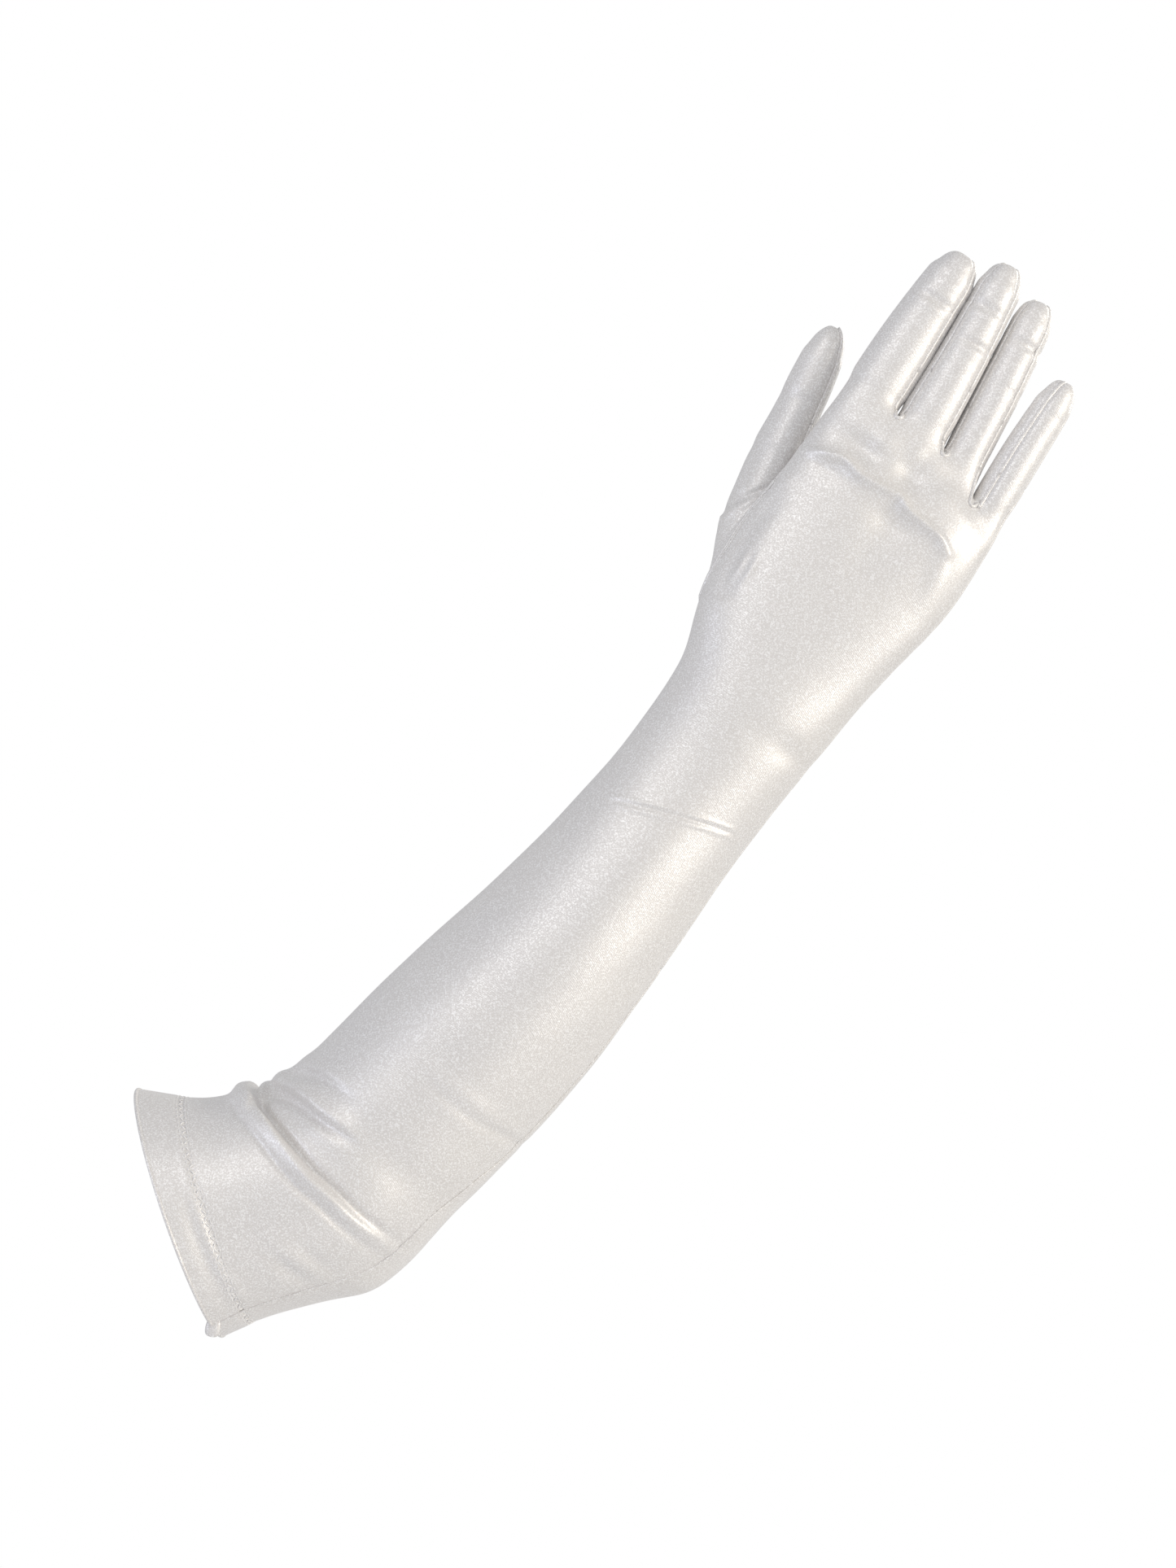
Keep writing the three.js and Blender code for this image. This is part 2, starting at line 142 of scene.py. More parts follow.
# %% Floor
FLOOR = -0.25  # height in metres
deselect()
bpy.ops.mesh.primitive_circle_add(vertices=96, radius=0.56, fill_type="NGON", location=(MIDDLE.x, 0, FLOOR))
floor = bpy.context.object
floor.name = "studio_floor"
bpy.ops.object.mode_set(mode="EDIT")
bpy.ops.mesh.inset(thickness=0.02)
bpy.ops.object.mode_set(mode="OBJECT")
bpy.ops.object.transform_apply(location=True, rotation=True, scale=True)
pale = bpy.data.materials.new("pale_floor")
pale.use_nodes = True
pale.node_tree.nodes["Principled BSDF"].inputs["Base Color"].default_value = (0.86, 0.86, 0.86, 1)
pale.node_tree.nodes["Principled BSDF"].inputs["Roughness"].default_value = 0.9
floor.data.materials.append(pale)
print("floor at", FLOOR, "m")

# %% [markdown]
# ## The arm inside the glove
# Nothing holds a glove open but the arm, so the arm is described first: a bending centre line with an oval
# section at each station. The same lists place every later piece, from the skin to the last stitch.

# %% The limbs' sizes
# each station: step along, heading, lean of the section, width, depth
ARM = [
    (0, 0, 19.6, 93, 82),
    (20, 5.6, 17, 81, 76),
    (18, 14, 20, 80.5, 74),
    (17.5, 16, 32, 81, 74),
    (17.5, 42, 41, 77, 74),
    (21, 45.7, 45, 77, 73),
    (43, 45.5, 47, 75.5, 70),
    (44, 47.6, 49, 67, 60),
    (44, 51, 51.5, 59, 48),
    (31, 52.3, 53, 57.5, 42),
    (30, 53.4, 57, 61, 40),
    (15, 63, 60, 67.5, 36),
    (17.5, 58.3, 60, 74.5, 32),
    (30, 51.5, 60, 80.5, 28),
    (28, 55, 60, 76, 25),
    (22, 58, 60, 75, 20),
]
HAND_BOX = 2.6  # how square the hand's section is; 2 would be an oval
BOXY_FROM, BOXY_TO = 265, 330  # where the section turns square, from the hem
print("stations along the arm:", len(ARM))


# %% A limb: sections along a centre line
def across_of(lean):
    a = np.radians(lean)
    return np.stack([np.sin(a), np.zeros_like(a), -np.cos(a)], -1)


def along_of(lean):
    a = np.radians(lean)
    return np.stack([np.cos(a), np.zeros_like(a), np.sin(a)], -1)


def smooth(x, low, high):
    t = np.clip((np.asarray(x, float) - low) / (high - low), 0, 1)
    return t * t * (3 - 2 * t)


def through(points, at):
    """A smooth curve through the points, at station numbers that need not be whole."""
    points = np.asarray(points, float)
    ends = np.vstack([2 * points[0] - points[1], points, 2 * points[-1] - points[-2]])
    at = np.clip(np.asarray(at, float), 0, len(points) - 1 - 1e-9)
    i = at.astype(int)
    t = (at - i)[..., None]
    p0, p1, p2, p3 = ends[i], ends[i + 1], ends[i + 2], ends[i + 3]
    return 0.5 * (
        2 * p1 + (p2 - p0) * t + (2 * p0 - 5 * p1 + 4 * p2 - p3) * t**2 + (3 * p1 - p0 - 3 * p2 + p3) * t**3
    )


class Limb:
    """A bending centre line with an oval section at each distance along it, in millimetres."""

    def __init__(self, start, stations, behind=None, power=None):
        places = [np.array(start, float)]
        for k, (step, heading, _lean, _width, _depth) in enumerate(stations[1:], 1):
            place = places[-1] + step * along_of(float(heading))
            if behind:
                place[1] = behind[k]
            places.append(place)
        self.places = np.array(places)
        self.distances = np.cumsum([s[0] for s in stations]).astype(float)
        self.length = self.distances[-1]
        self.sizes = np.array([(w / 2, d / 2, lean) for _, _, lean, w, d in stations])
        self.power = power or (lambda distance: np.full_like(np.asarray(distance, float), 2.0))

    def section(self, distance):
        at = np.interp(distance, self.distances, np.arange(len(self.distances)))
        size = through(self.sizes, at)
        return through(self.places, at), size[..., 0], size[..., 1], size[..., 2]

    def point(self, distance, angle, out=0.0):
        """Angle 0 is the little finger's side, 90 the palm, 180 the thumb's side and 270 the back."""
        centre, wide, deep, lean = self.section(distance)
        power = self.power(distance)
        a = np.radians(angle)
        x = np.sign(np.cos(a)) * np.abs(np.cos(a)) ** (2 / power) * (wide + out)
        y = np.sign(np.sin(a)) * np.abs(np.sin(a)) ** (2 / power) * (deep + out)
        return centre + across_of(lean) * x[..., None] + np.array([0, 1.0, 0]) * y[..., None]


arm = Limb((0, 0, 0), ARM, power=lambda d: 2 + (HAND_BOX - 2) * smooth(d, BOXY_FROM, BOXY_TO))
KNUCKLES = arm.distances[-2]
knuckle_middle, KNUCKLE_HALF, _, HAND_LEAN = arm.section(KNUCKLES)
print("length from the hem to the knuckles", KNUCKLES, "mm")

# %% The fingers' and the thumb's sizes
# a finger's start: across and along from the knuckles, how far behind, lean, width, depth
# then its stations: step along, lean, width, depth
FINGERS = {
    "index": (
        (-25.2, 18.6, 0, 57, 21.2, 17),
        [(26, 57.2, 20.4, 16), (20, 56.2, 18.2, 15), (19, 54.5, 16, 13.5)],
    ),
    "middle": (
        (-3.7, 17.4, 0, 61, 20.2, 17),
        [(34, 60, 17.8, 16), (18, 62, 16.4, 14.5), (19, 62.5, 14.8, 13)],
    ),
    "ring": (
        (15, 14.6, 3, 66, 15.8, 16),
        [(31, 62.6, 16.2, 15), (17, 63.4, 15.6, 14), (20.5, 64, 14.4, 12.5)],
    ),
    "little": (
        (31.4, 2.6, 2, 59, 14.4, 14),
        [(28, 59, 14.4, 13.5), (15, 57.5, 13.8, 12.5), (17, 57, 12.4, 11.5)],
    ),
}
THUMB_STATIONS = [
    (0, 0, 66, 11, 15),
    (20, 66, 66, 16.5, 20),
    (20, 65.5, 65.5, 19, 19.5),
    (15, 64.5, 64.5, 18, 18),
    (14, 64, 64, 16, 16.5),
    (14, 65.5, 65.5, 15.4, 15),
    (16, 65.5, 65.5, 13.2, 12.5),
]
THUMB_BEHIND = [6, 10, 13.5, 14.5, 14.5, 13.5, 12]  # how far behind, at each station
JOINT_SHARE = 0.47  # where the middle joint lies along a finger


def from_knuckles(across, along, behind):
    place = knuckle_middle + across * across_of(HAND_LEAN) + along * along_of(HAND_LEAN)
    place[1] = behind
    return place


limbs = {}
for finger, ((across, along, behind, lean, width, depth), steps) in FINGERS.items():
    stations = [(0, 0, lean, width, depth)] + [(s, h, h, w, d) for s, h, w, d in steps]
    limbs[finger] = Limb(from_knuckles(across, along, behind), stations, behind=[behind] * 4)
limbs["thumb"] = Limb(from_knuckles(-KNUCKLE_HALF - 1.2, -61, 6), THUMB_STATIONS, behind=THUMB_BEHIND)
print("finger lengths", {name: float(limb.length) for name, limb in limbs.items()})

# %% [markdown]
# ## The skin's cage
# A glove has one continuous surface, from the hem to five fingertips, so it is box modelled: a small grid
# is the mouth's section, it is extruded ring by ring up the arm, and its end cap is wide enough to give
# each finger a block of two by two faces to grow from. The thumb grows from a block on the hand's side. A
# cage of few faces keeps every ring easy to place, and the Subdivision Surface makes the webs between the
# fingers round by itself.

# %% Start the cage: the mouth's section as a grid
COLUMNS, ROWS = 8, 2

deselect()
bpy.ops.mesh.primitive_grid_add(x_subdivisions=COLUMNS, y_subdivisions=ROWS, size=0.08)
skin = bpy.context.object
skin.name = "glove_skin"
for name in ("column", "row", "cage_ring", "thumb_step", "thumb_column"):
    skin.data.attributes.new(name, "INT", "POINT")
for name in ("arm_reach", "finger_reach", "thumb_reach", *(f"{limb}_share" for limb in limbs)):
    skin.data.attributes.new(name, "FLOAT", "POINT")
order = sorted(range(27), key=lambda i: (round(skin.data.vertices[i].co.y, 4), skin.data.vertices[i].co.x))
for k, i in enumerate(order):
    skin.data.attributes["column"].data[i].value = k % (COLUMNS + 1)
    skin.data.attributes["row"].data[i].value = k // (COLUMNS + 1)
print("mouth section:", len(skin.data.vertices), "points")

# %% Where each point of a ring goes
CAGE_SWELL = 1.016  # the rounding pulls a ring of twenty points in by this much
LINES = [-35.8, -25.2, -14.0, -3.7, 6.8, 15.0, 24.0, 31.6, 38.8]  # across the knuckles, at the fingers' edges
END = [18.0, 20.0, 22.5, 19.5, 19.5, 14.0, 9.0, 5.0, 2.5]  # how far beyond the knuckles each line ends


def ring_point(distance, column, row, to_fingers):
    """One point of a ring round the arm. to_fingers moves it from even spacing to the fingers' edges."""
    if row == 1 and 0 < column < COLUMNS:
        back = ring_point(distance, column, 0, to_fingers)
        palm = ring_point(distance, column, 2, to_fingers)
        return (back + palm) / 2
    if row == 1:
        angle = 180.0 if column == 0 else 0.0
    else:
        angle = 198.0 + 18 * column if row == 0 else 162.0 - 18 * column
    even = arm.point(distance, angle)
    centre, wide, deep, lean = arm.section(distance)
    x = float((even - centre) @ across_of(lean))
    y = float(even[1] - centre[1])
    if row != 1:
        x = x + (LINES[column] - x) * to_fingers
        power = float(arm.power(distance))
        oval = float(deep) * (1 - min(abs(x) / float(wide), 0.985) ** power) ** (1 / power)
        y = y + (math.copysign(oval, y) - y) * to_fingers
    swell = CAGE_SWELL
    return centre + across_of(lean) * x * swell + np.array([0, y * swell, 0])


def place_ring(number, distances, to_fingers, flat=None):
    """Puts the selected cap's points on a ring; distances is one for all columns, or one for each."""
    bm = bmesh.from_edit_mesh(skin.data)
    column, row, ring = (bm.verts.layers.int[n] for n in ("column", "row", "cage_ring"))
    reach = bm.verts.layers.float["arm_reach"]
    for v in bm.verts:
        if v.select:
            d = distances[v[column]] if isinstance(distances, list) else distances
            p = ring_point(float(d), v[column], v[row], to_fingers)
            if flat:
                p = flat(p, v[column], v[row])
            v.co = Vector(p * MM)
            v[ring] = number
            v[reach] = d
    bmesh.update_edit_mesh(skin.data)


def extrude():
    bpy.ops.mesh.extrude_region_move(TRANSFORM_OT_translate={"value": (0, 0, 0)})


print("knuckle lines:", LINES)

# %% Extrude the sleeve and the hand
SLEEVE_RINGS = [0, 4, *range(12, 104, 8), 109, 119, 129, 141, 153, 165, 177]
SLEEVE_RINGS += [190, 201, 212, 223, 233, 242, 250, 259, 268, 277, 286, 295, 304, 318, 334, 350, 366]
THUMB_RINGS = [SLEEVE_RINGS.index(d) for d in (318, 334, 350, 366)]


def crotch_dip(p, column, row):
    """Sinks the middle of the cap, so that the web between two fingers hangs like cloth."""
    if row == 1 and column in (2, 4, 6):
        return p - 2.5 * along_of(60.0)
    return p


bpy.ops.object.mode_set(mode="EDIT")
bpy.ops.mesh.select_all(action="SELECT")
place_ring(0, SLEEVE_RINGS[0], 0.0)
for number, distance in enumerate(SLEEVE_RINGS[1:], 1):
    extrude()
    place_ring(number, distance, float(smooth(distance, 318, 384)))
for step, share in enumerate((0.34, 0.67)):
    extrude()
    between = [366 + share * (KNUCKLES + e - 366) for e in END]
    place_ring(len(SLEEVE_RINGS) + step, between, 0.8 + 0.15 * step)
extrude()
LAST_RING = len(SLEEVE_RINGS) + 2
place_ring(LAST_RING, [min(KNUCKLES + e, arm.length) for e in END], 1.0)


def end_cap():
    """The last ring's true place: straight across the fingers' bases, a little thinner than the hand."""
    bm = bmesh.from_edit_mesh(skin.data)
    column, row = bm.verts.layers.int["column"], bm.verts.layers.int["row"]
    for v in bm.verts:
        if v.select:
            c, r = v[column], v[row]
            behind = (0, 0, 0, 0, 1.5, 3, 2.5, 2, 2)[c]
            deep = (7.0, 9.0, 8.2, 9.0, 8.2, 8.6, 7.6, 7.4, 5.5)[c]
            p = from_knuckles(LINES[c], END[c], behind + (r - 1) * deep)
            v.co = Vector(crotch_dip(p, c, r) * MM)
    bmesh.update_edit_mesh(skin.data)


end_cap()
print("sleeve and hand:", LAST_RING + 1, "rings")

# %% Extrude the fingers from the end cap
FINGER_COLUMNS = {"index": 0, "middle": 2, "ring": 4, "little": 6}
TURN = {(0, 0): 225, (1, 0): 270, (2, 0): 315, (2, 1): 0, (2, 2): 45, (1, 2): 90, (0, 2): 135, (0, 1): 180}
FINGER_SWELL = 1.10  # the rounding pulls a ring of eight points in by this much
FIRST_RING = {"index": 8, "middle": 8.5, "ring": 9, "little": 11}


def select_cap(first_column):
    bm = bmesh.from_edit_mesh(skin.data)
    column, ring = bm.verts.layers.int["column"], bm.verts.layers.int["cage_ring"]
    for face in bm.faces:
        columns = {v[column] for v in face.verts}
        wanted = set(range(first_column, first_column + 3))
        face.select_set(all(v[ring] == LAST_RING for v in face.verts) and columns <= wanted)
    bm.select_flush(True)
    bmesh.update_edit_mesh(skin.data)


def place_finger_ring(finger, distance, share):
    bm = bmesh.from_edit_mesh(skin.data)
    column, row, ring = (bm.verts.layers.int[n] for n in ("column", "row", "cage_ring"))
    reach, weight = bm.verts.layers.float["finger_reach"], bm.verts.layers.float[f"{finger}_share"]
    limb = limbs[finger]
    centre, wide, deep, lean = limb.section(distance)
    for v in bm.verts:
        if v.select:
            key = (v[column] - FINGER_COLUMNS[finger], v[row])
            p = centre.copy()
            beyond = max(0.0, distance - limb.length) * along_of(float(lean))
            if key != (1, 1):
                p = limb.point(np.array(float(distance)), float(TURN[key]))
                p = centre + (p - centre) * FINGER_SWELL * share
            p = p + beyond
            v.co = Vector(p * MM)
            v[ring], v[reach], v[weight] = 1000, distance, 1.0
    bmesh.update_edit_mesh(skin.data)


bpy.ops.mesh.select_mode(type="FACE")
for finger, first in FINGER_COLUMNS.items():
    length = limbs[finger].length
    select_cap(first)
    joint = length * JOINT_SHARE
    start = FIRST_RING[finger]
    rings = [start, (start + joint - 9) / 2, joint - 9, joint - 4.5, joint, joint + 4.5, joint + 9]
    rings += [(joint + 9 + length - 10) / 2, length - 10]
    for distance in rings:
        extrude()
        place_finger_ring(finger, distance, 1.0)
    for distance, share in ((length - 3.5, 0.95), (length + 1.5, 0.64)):
        extrude()
        place_finger_ring(finger, distance, share)
print("points with four fingers:", len(bmesh.from_edit_mesh(skin.data).verts))

# %% Extrude the thumb from the hand's side
THUMB_ORDER = [(0, 1), (0, 2), (1, 2), (2, 2), (3, 2), (3, 1), (3, 0), (2, 0), (1, 0), (0, 0)]
THUMB_TURN = {key: 180 - 36 * k for k, key in enumerate(THUMB_ORDER)}
THUMB_SWELL = 1.065


def tag_thumb_block():
    """The block is three faces long and two round: the hand's side edge and the palm's first two columns."""
    bm = bmesh.from_edit_mesh(skin.data)
    column, row, ring, step, side = (
        bm.verts.layers.int[n] for n in ("column", "row", "cage_ring", "thumb_step", "thumb_column")
    )
    round_the_edge = {(0, 1): 0, (0, 2): 1, (1, 2): 2}
    for v in bm.verts:
        key = (v[column], v[row])
        inside = v[ring] in THUMB_RINGS and key in round_the_edge
        v[step] = 1 + THUMB_RINGS.index(v[ring]) if inside else 0
        v[side] = round_the_edge.get(key, 0)
    for face in bm.faces:
        face.select_set(all(v[step] > 0 for v in face.verts))
    bm.select_flush(True)
    bmesh.update_edit_mesh(skin.data)


def place_thumb_ring(distance, slant, share):
    bm = bmesh.from_edit_mesh(skin.data)
    ring, step, side = (bm.verts.layers.int[n] for n in ("cage_ring", "thumb_step", "thumb_column"))
    reach, weight = bm.verts.layers.float["thumb_reach"], bm.verts.layers.float["thumb_share"]
    limb = limbs["thumb"]
    beyond = max(0.0, distance - limb.length) * along_of(65.5)
    for v in bm.verts:
        if v.select:
            key = (v[step] - 1, v[side])
            turn = THUMB_TURN.get(key)
            if turn is None:
                d = distance + slant * (0.33 if key[0] == 2 else -0.33)
                p = limb.section(d)[0] + 0.33 * share * (1 if key[0] == 2 else -1) * 8 * across_of(65.0)
            else:
                d = distance + slant * math.cos(math.radians(turn))
                centre = limb.section(d)[0]
                p = centre + (limb.point(np.array(float(d)), float(turn)) - centre) * THUMB_SWELL * share
            v.co = Vector((p + beyond) * MM)
            v[ring], v[reach], v[weight] = 2000, d, 1.0
    bmesh.update_edit_mesh(skin.data)


tag_thumb_block()
thumb_length = limbs["thumb"].length
for distance, slant, share in (
    (30, 12, 1.0),
    (44, 0, 1.0),
    (48.5, 0, 1.0),
    (53, 0, 1.0),
    (57.5, 0, 1.0),
    (62, 0, 1.0),
    (67, 0, 1.0),
    (72, 0, 1.0),
    (76.5, 0, 1.0),
    (81, 0, 1.0),
    (86, 0, 1.0),
    (92, 0, 1.0),
    (thumb_length - 1, 0, 0.9),
    (thumb_length + 3.6, 0, 0.42),
):
    extrude()
    place_thumb_ring(distance, slant, share)
print("points with the thumb:", len(bmesh.from_edit_mesh(skin.data).verts))

# %% Open the mouth and turn every face outwards
bpy.ops.mesh.select_all(action="DESELECT")
bm = bmesh.from_edit_mesh(skin.data)
ring = bm.verts.layers.int["cage_ring"]
for face in bm.faces:
    face.select_set(all(v[ring] == 0 for v in face.verts))
bmesh.update_edit_mesh(skin.data)
bpy.ops.mesh.delete(type="FACE")
bpy.ops.mesh.select_all(action="SELECT")
bpy.ops.mesh.normals_make_consistent(inside=False)
bpy.ops.object.mode_set(mode="OBJECT")
print("cage:", len(skin.data.vertices), "points,", len(skin.data.polygons), "faces")

# %% Round the cage
round_off = skin.modifiers.new("round_off", "SUBSURF")
round_off.levels = 3
round_off.render_levels = 3
bpy.ops.object.modifier_apply(modifier="round_off")
print("skin:", len(skin.data.vertices), "points")

# %% Finer cloth where the sharp folds go
deselect()
skin.select_set(True)
bpy.context.view_layer.objects.active = skin
FINER_BOXES = {
    "elbow": ((12, -21, -24), (90, 60, 62)),
    "knuckles": ((186, -60, 212), (286, 4, 284)),
    "forearm crease": ((148, -60, 130), (204, 0, 156)),
}
for low_corner, high_corner in FINER_BOXES.values():
    bpy.ops.object.mode_set(mode="EDIT")
    bpy.ops.mesh.select_mode(type="FACE")
    bm = bmesh.from_edit_mesh(skin.data)
    for face in bm.faces:
        centre = face.calc_center_median() / MM
        inside = all(low < c < high for low, c, high in zip(low_corner, centre, high_corner))
        face.select_set(inside and face.normal.y < 0.5)
    bmesh.update_edit_mesh(skin.data)
    bpy.ops.mesh.subdivide(number_cuts=1, smoothness=1.0)
    bpy.ops.object.mode_set(mode="OBJECT")
print("with finer patches:", len(skin.data.vertices), "points")

# %% Read and write the skin's points
def read(mesh, name=None):
    if name is None:
        out = np.empty(len(mesh.vertices) * 3)
        mesh.vertices.foreach_get("co", out)
        return out.reshape(-1, 3)
    out = np.empty(len(mesh.vertices), np.float32)
    mesh.attributes[name].data.foreach_get("value", out)
    return out


def write(mesh, points):
    mesh.vertices.foreach_set("co", np.ascontiguousarray(points).ravel())
    mesh.update()


def normals_of(mesh):
    out = np.empty(len(mesh.vertices) * 3, np.float32)
    mesh.vertex_normals.foreach_get("vector", out)
    return out.reshape(-1, 3)


print("the skin's highest point:", round(float(read(skin.data)[:, 2].max()) / MM, 1), "mm")


# %% Draw the fingers onto their own round sections
def distance_along(limb, points):
    """How far along a limb's centre line each point lies."""
    samples = np.linspace(0, limb.length, 240)
    centres = limb.section(samples)[0]
    nearest = np.array([np.argmin(((centres - p) ** 2).sum(1)) for p in points])
    return samples[nearest]


PLUMP = {"index": 0.7, "middle": 0.5, "ring": 0.1, "little": 0.4, "thumb": 0.5}  # cloth stands off the hand
points = read(skin.data) / MM
for name, limb in limbs.items():
    weight = read(skin.data, f"{name}_share")
    chosen = np.where(weight > 0.05)[0]
    near = distance_along(limb, points[chosen])
    centre, wide, deep, lean = limb.section(near)
    wide, deep = wide + PLUMP[name], deep + 0.3
    offset = points[chosen] - centre
    x = (offset * across_of(lean)).sum(1)
    y = offset[:, 1]
    angle = np.degrees(np.arctan2(y / deep, x / wide))
    radius = np.hypot(x / wide, y / deep)
    start = 50 if name == "thumb" else 6
    pull = smooth(near, start, start + 6) * (1 - smooth(near, limb.length - 9, limb.length - 4))
    scale = 1 + (1 / np.maximum(radius, 0.3) - 1) * pull
    ahead = (offset * along_of(lean)).sum(1)[:, None] * along_of(lean)
    behind = np.array([0, 1.0, 0]) * (y * scale)[:, None]
    points[chosen] = centre + across_of(lean) * (x * scale)[:, None] + behind + ahead
write(skin.data, points * MM)
print("fingers drawn onto their sections")

# %% [markdown]
# ## Where the seams run
# The long side seam closes the sleeve under the arm and runs to the little finger. Each finger has a seam
# on its back and one on its palm side, where the narrow side strip is sewn in, and the thumb's runs up its
# side to the tip. The paths come first, because the cloth sinks a little along every seam, and the welts
# are sewn on later.

# %% Seam paths
SIDE_SEAM = [(0, -31), (20, -33), (50, -37), (75, -32), (110, -17), (140, -14), (200, -6), (290, 0), (400, 0)]


def side_seam_point(d):
    return arm.point(np.array(float(d)), float(np.interp(d, *zip(*SIDE_SEAM))), 0.3)


BACK_SEAMS = {"index": [328], "middle": [211, 328], "ring": [210, 326], "little": [240, 0]}
PALM_SEAMS = {"index": [30], "middle": [150, 30], "ring": [150, 30], "little": [146]}


def finger_seam(name, angle, start, stop):
    limb = limbs[name]
    out = []
    for d in np.linspace(start, stop, 14):
        over = max(0.0, d - (limb.length - 6)) / 9.5
        d_on = min(d, limb.length)
        centre = limb.section(d_on)[0]
        p = limb.point(np.array(float(d_on)), float(angle))
        p = centre + (p - centre) * (1 - 0.85 * over**1.6) + along_of(limb.sizes[-1][2]) * 3.5 * over
        out.append(p)
    return out


thumb = limbs["thumb"]
low = [(185.6, 219.8), (189, 228), (193.8, 236.1), (200.5, 246.6), (208.0, 256.6), (213.0, 262.5)]


def thumb_seam(angle, start, stop):
    out = []
    for d in np.linspace(start, stop, 14):
        over = max(0.0, d - (thumb.length - 4)) / 8
        d_on = min(d, thumb.length)
        centre = thumb.section(d_on)[0]
        p = thumb.point(np.array(float(d_on)), float(angle))
        out.append(centre + (p - centre) * (1 - 0.8 * over) + along_of(65.5) * 3.2 * over)
    return out


print("seam paths:", 2 + sum(len(BACK_SEAMS[n] + PALM_SEAMS[n]) for n in FINGERS))

# %% [markdown]
# ## Folds, creases and hollows
# The sleeve is pushed down at the elbow, so its cloth gathers in overlapping folds there. Over the knuckles
# it is stretched into one ridge with hollows on both sides, and it dents at each finger joint. A cloth
# simulation would find folds of its own and not these, so each one is drawn as a path with a height, a
# width and a side, and the skin's points move along their normals, as a sculptor's crease brush moves them.

# %% A brush that follows a path
points = read(skin.data) / MM
normals = normals_of(skin.data)
arm_reach = read(skin.data, "arm_reach")
thumb_share = read(skin.data, "thumb_share")
height_map = np.zeros(len(points))
back_side = 1 - smooth(normals[:, 1], -0.15, 0.35)
wraps_over = 1 - smooth(points[:, 1], 8, 34)
palm_side = smooth(normals[:, 1], 0.0, 0.4)
not_thumb = 1 - smooth(thumb_share, 0.3, 0.8)


def follow(path, steps=90):
    path = np.asarray(path, float)
    return through(path, np.linspace(0, len(path) - 1, steps))


def crease(path, width, mask, shift=0.0, width_other=None):
    """path is a list of (x, z, height). Its left side, seen from the front, may have a width of its own."""
    line = follow(path)
    near = (np.abs(points[:, 0] - line[:, 0].mean()) < np.ptp(line[:, 0]) / 2 + 30) & (
        np.abs(points[:, 2] - line[:, 1].mean()) < np.ptp(line[:, 1]) / 2 + 30
    )
    spots = np.where(near & (mask > 0.01))[0]
    flat = points[spots][:, [0, 2]]
    gap = flat[:, None, :] - line[None, :, :2]
    square = (gap**2).sum(-1)
    nearest = square.argmin(1)
    rows = np.arange(len(spots))
    direction = np.gradient(line[:, :2], axis=0)
    direction /= np.linalg.norm(direction, axis=1)[:, None] + 1e-9
    t = direction[nearest]
    g = gap[rows, nearest]
    side = t[:, 0] * g[:, 1] - t[:, 1] * g[:, 0]
    beyond = np.sqrt(np.maximum(square[rows, nearest] - side**2, 0))
    side = side - shift
    wide = np.where(side > 0, width, width if width_other is None else width_other)
    height_map[spots] += line[nearest, 2] * np.exp(-((side / wide) ** 2) - (beyond / 2.5) ** 2) * mask[spots]


def hollow(x, z, long, wide, turn, depth, mask):
    a = math.radians(turn)
    u = (points[:, 0] - x) * math.cos(a) + (points[:, 2] - z) * math.sin(a)
    v = -(points[:, 0] - x) * math.sin(a) + (points[:, 2] - z) * math.cos(a)
    height_map[:] -= depth * np.exp(-((u / long) ** 2) - (v / wide) ** 2) * mask


print("points the brush can move:", len(points))

# %% The elbow's folds
fold = [(21, 47.5, 0.7), (25.7, 42.3, 2.2), (33.4, 34.1, 3.2), (41.1, 25.4, 3.2), (49, 16.6, 2.9)]
fold += [(56.8, 9.7, 2.4), (64.4, 2, 1.8), (72.3, -4.9, 0.9), (79, -11, 0.2)]
crease(fold, 0.9, wraps_over, width_other=2.9)
roll = [(16, 49, 0.8), (20.7, 43.5, 2.2), (28, 34, 1.7), (36, 25, 1.0), (44, 16, 0.4), (50, 9, 0.1)]
crease(roll, 2.6, wraps_over)
crease([(x, z, -0.9 * h) for x, z, h in fold[1:]], 1.6, wraps_over, shift=2.4)
crease([(x, z, -0.5 * h) for x, z, h in fold[1:]], 1.3, wraps_over, shift=-5.6)
second = [(26, 39, 0.4), (28.5, 42.8, 1.8), (33.4, 46.2, 2.5), (39.3, 46.0, 2.6), (46.1, 43.0, 2.7)]
second += [(52.8, 38.5, 2.3), (59.7, 34.1, 1.4), (65, 30.5, 0.3)]
crease(second, 4.5, wraps_over, width_other=0.8)
crease([(x, z, -0.9 * h) for x, z, h in second], 2.0, wraps_over, shift=-2.6)
third = [(36.4, 46.6, 0.6), (39.3, 50.1, 1.1), (43.1, 52.3, 1.2), (48, 53, 1.4), (55, 51, 1.0), (62, 47, 0.2)]
crease(third, 4.0, wraps_over, width_other=0.9)
crease([(x, z, -0.9 * h) for x, z, h in third], 1.8, wraps_over, shift=-2.2)
hollow(42, 37, 7, 4, -35, 0.9, wraps_over)
hollow(81, 17.5, 17, 9, -42, 1.9, back_side)
hollow(57, 20, 12, 6, -42, 0.6, back_side)
hollow(66, -25, 10, 7, 12, -1.6, np.ones(len(points)))
crease([(36, -11, -0.2), (41, -17, -0.8), (49, -22.5, -0.3)], 2.6, back_side)
crease([(33, -4, 0.1), (41, -11, 0.7), (52, -17.5, 0.3)], 3.2, back_side)
crease([(45, -7, -0.1), (50, -13, -0.7), (57, -18, -0.2)], 2.6, back_side)
crease(
    [(86, 52, 0.1), (96, 44, -0.35), (107.3, 35, -0.5), (118.9, 27.7, -0.7), (124, 23, -0.1)],
    1.8,
    back_side,
)
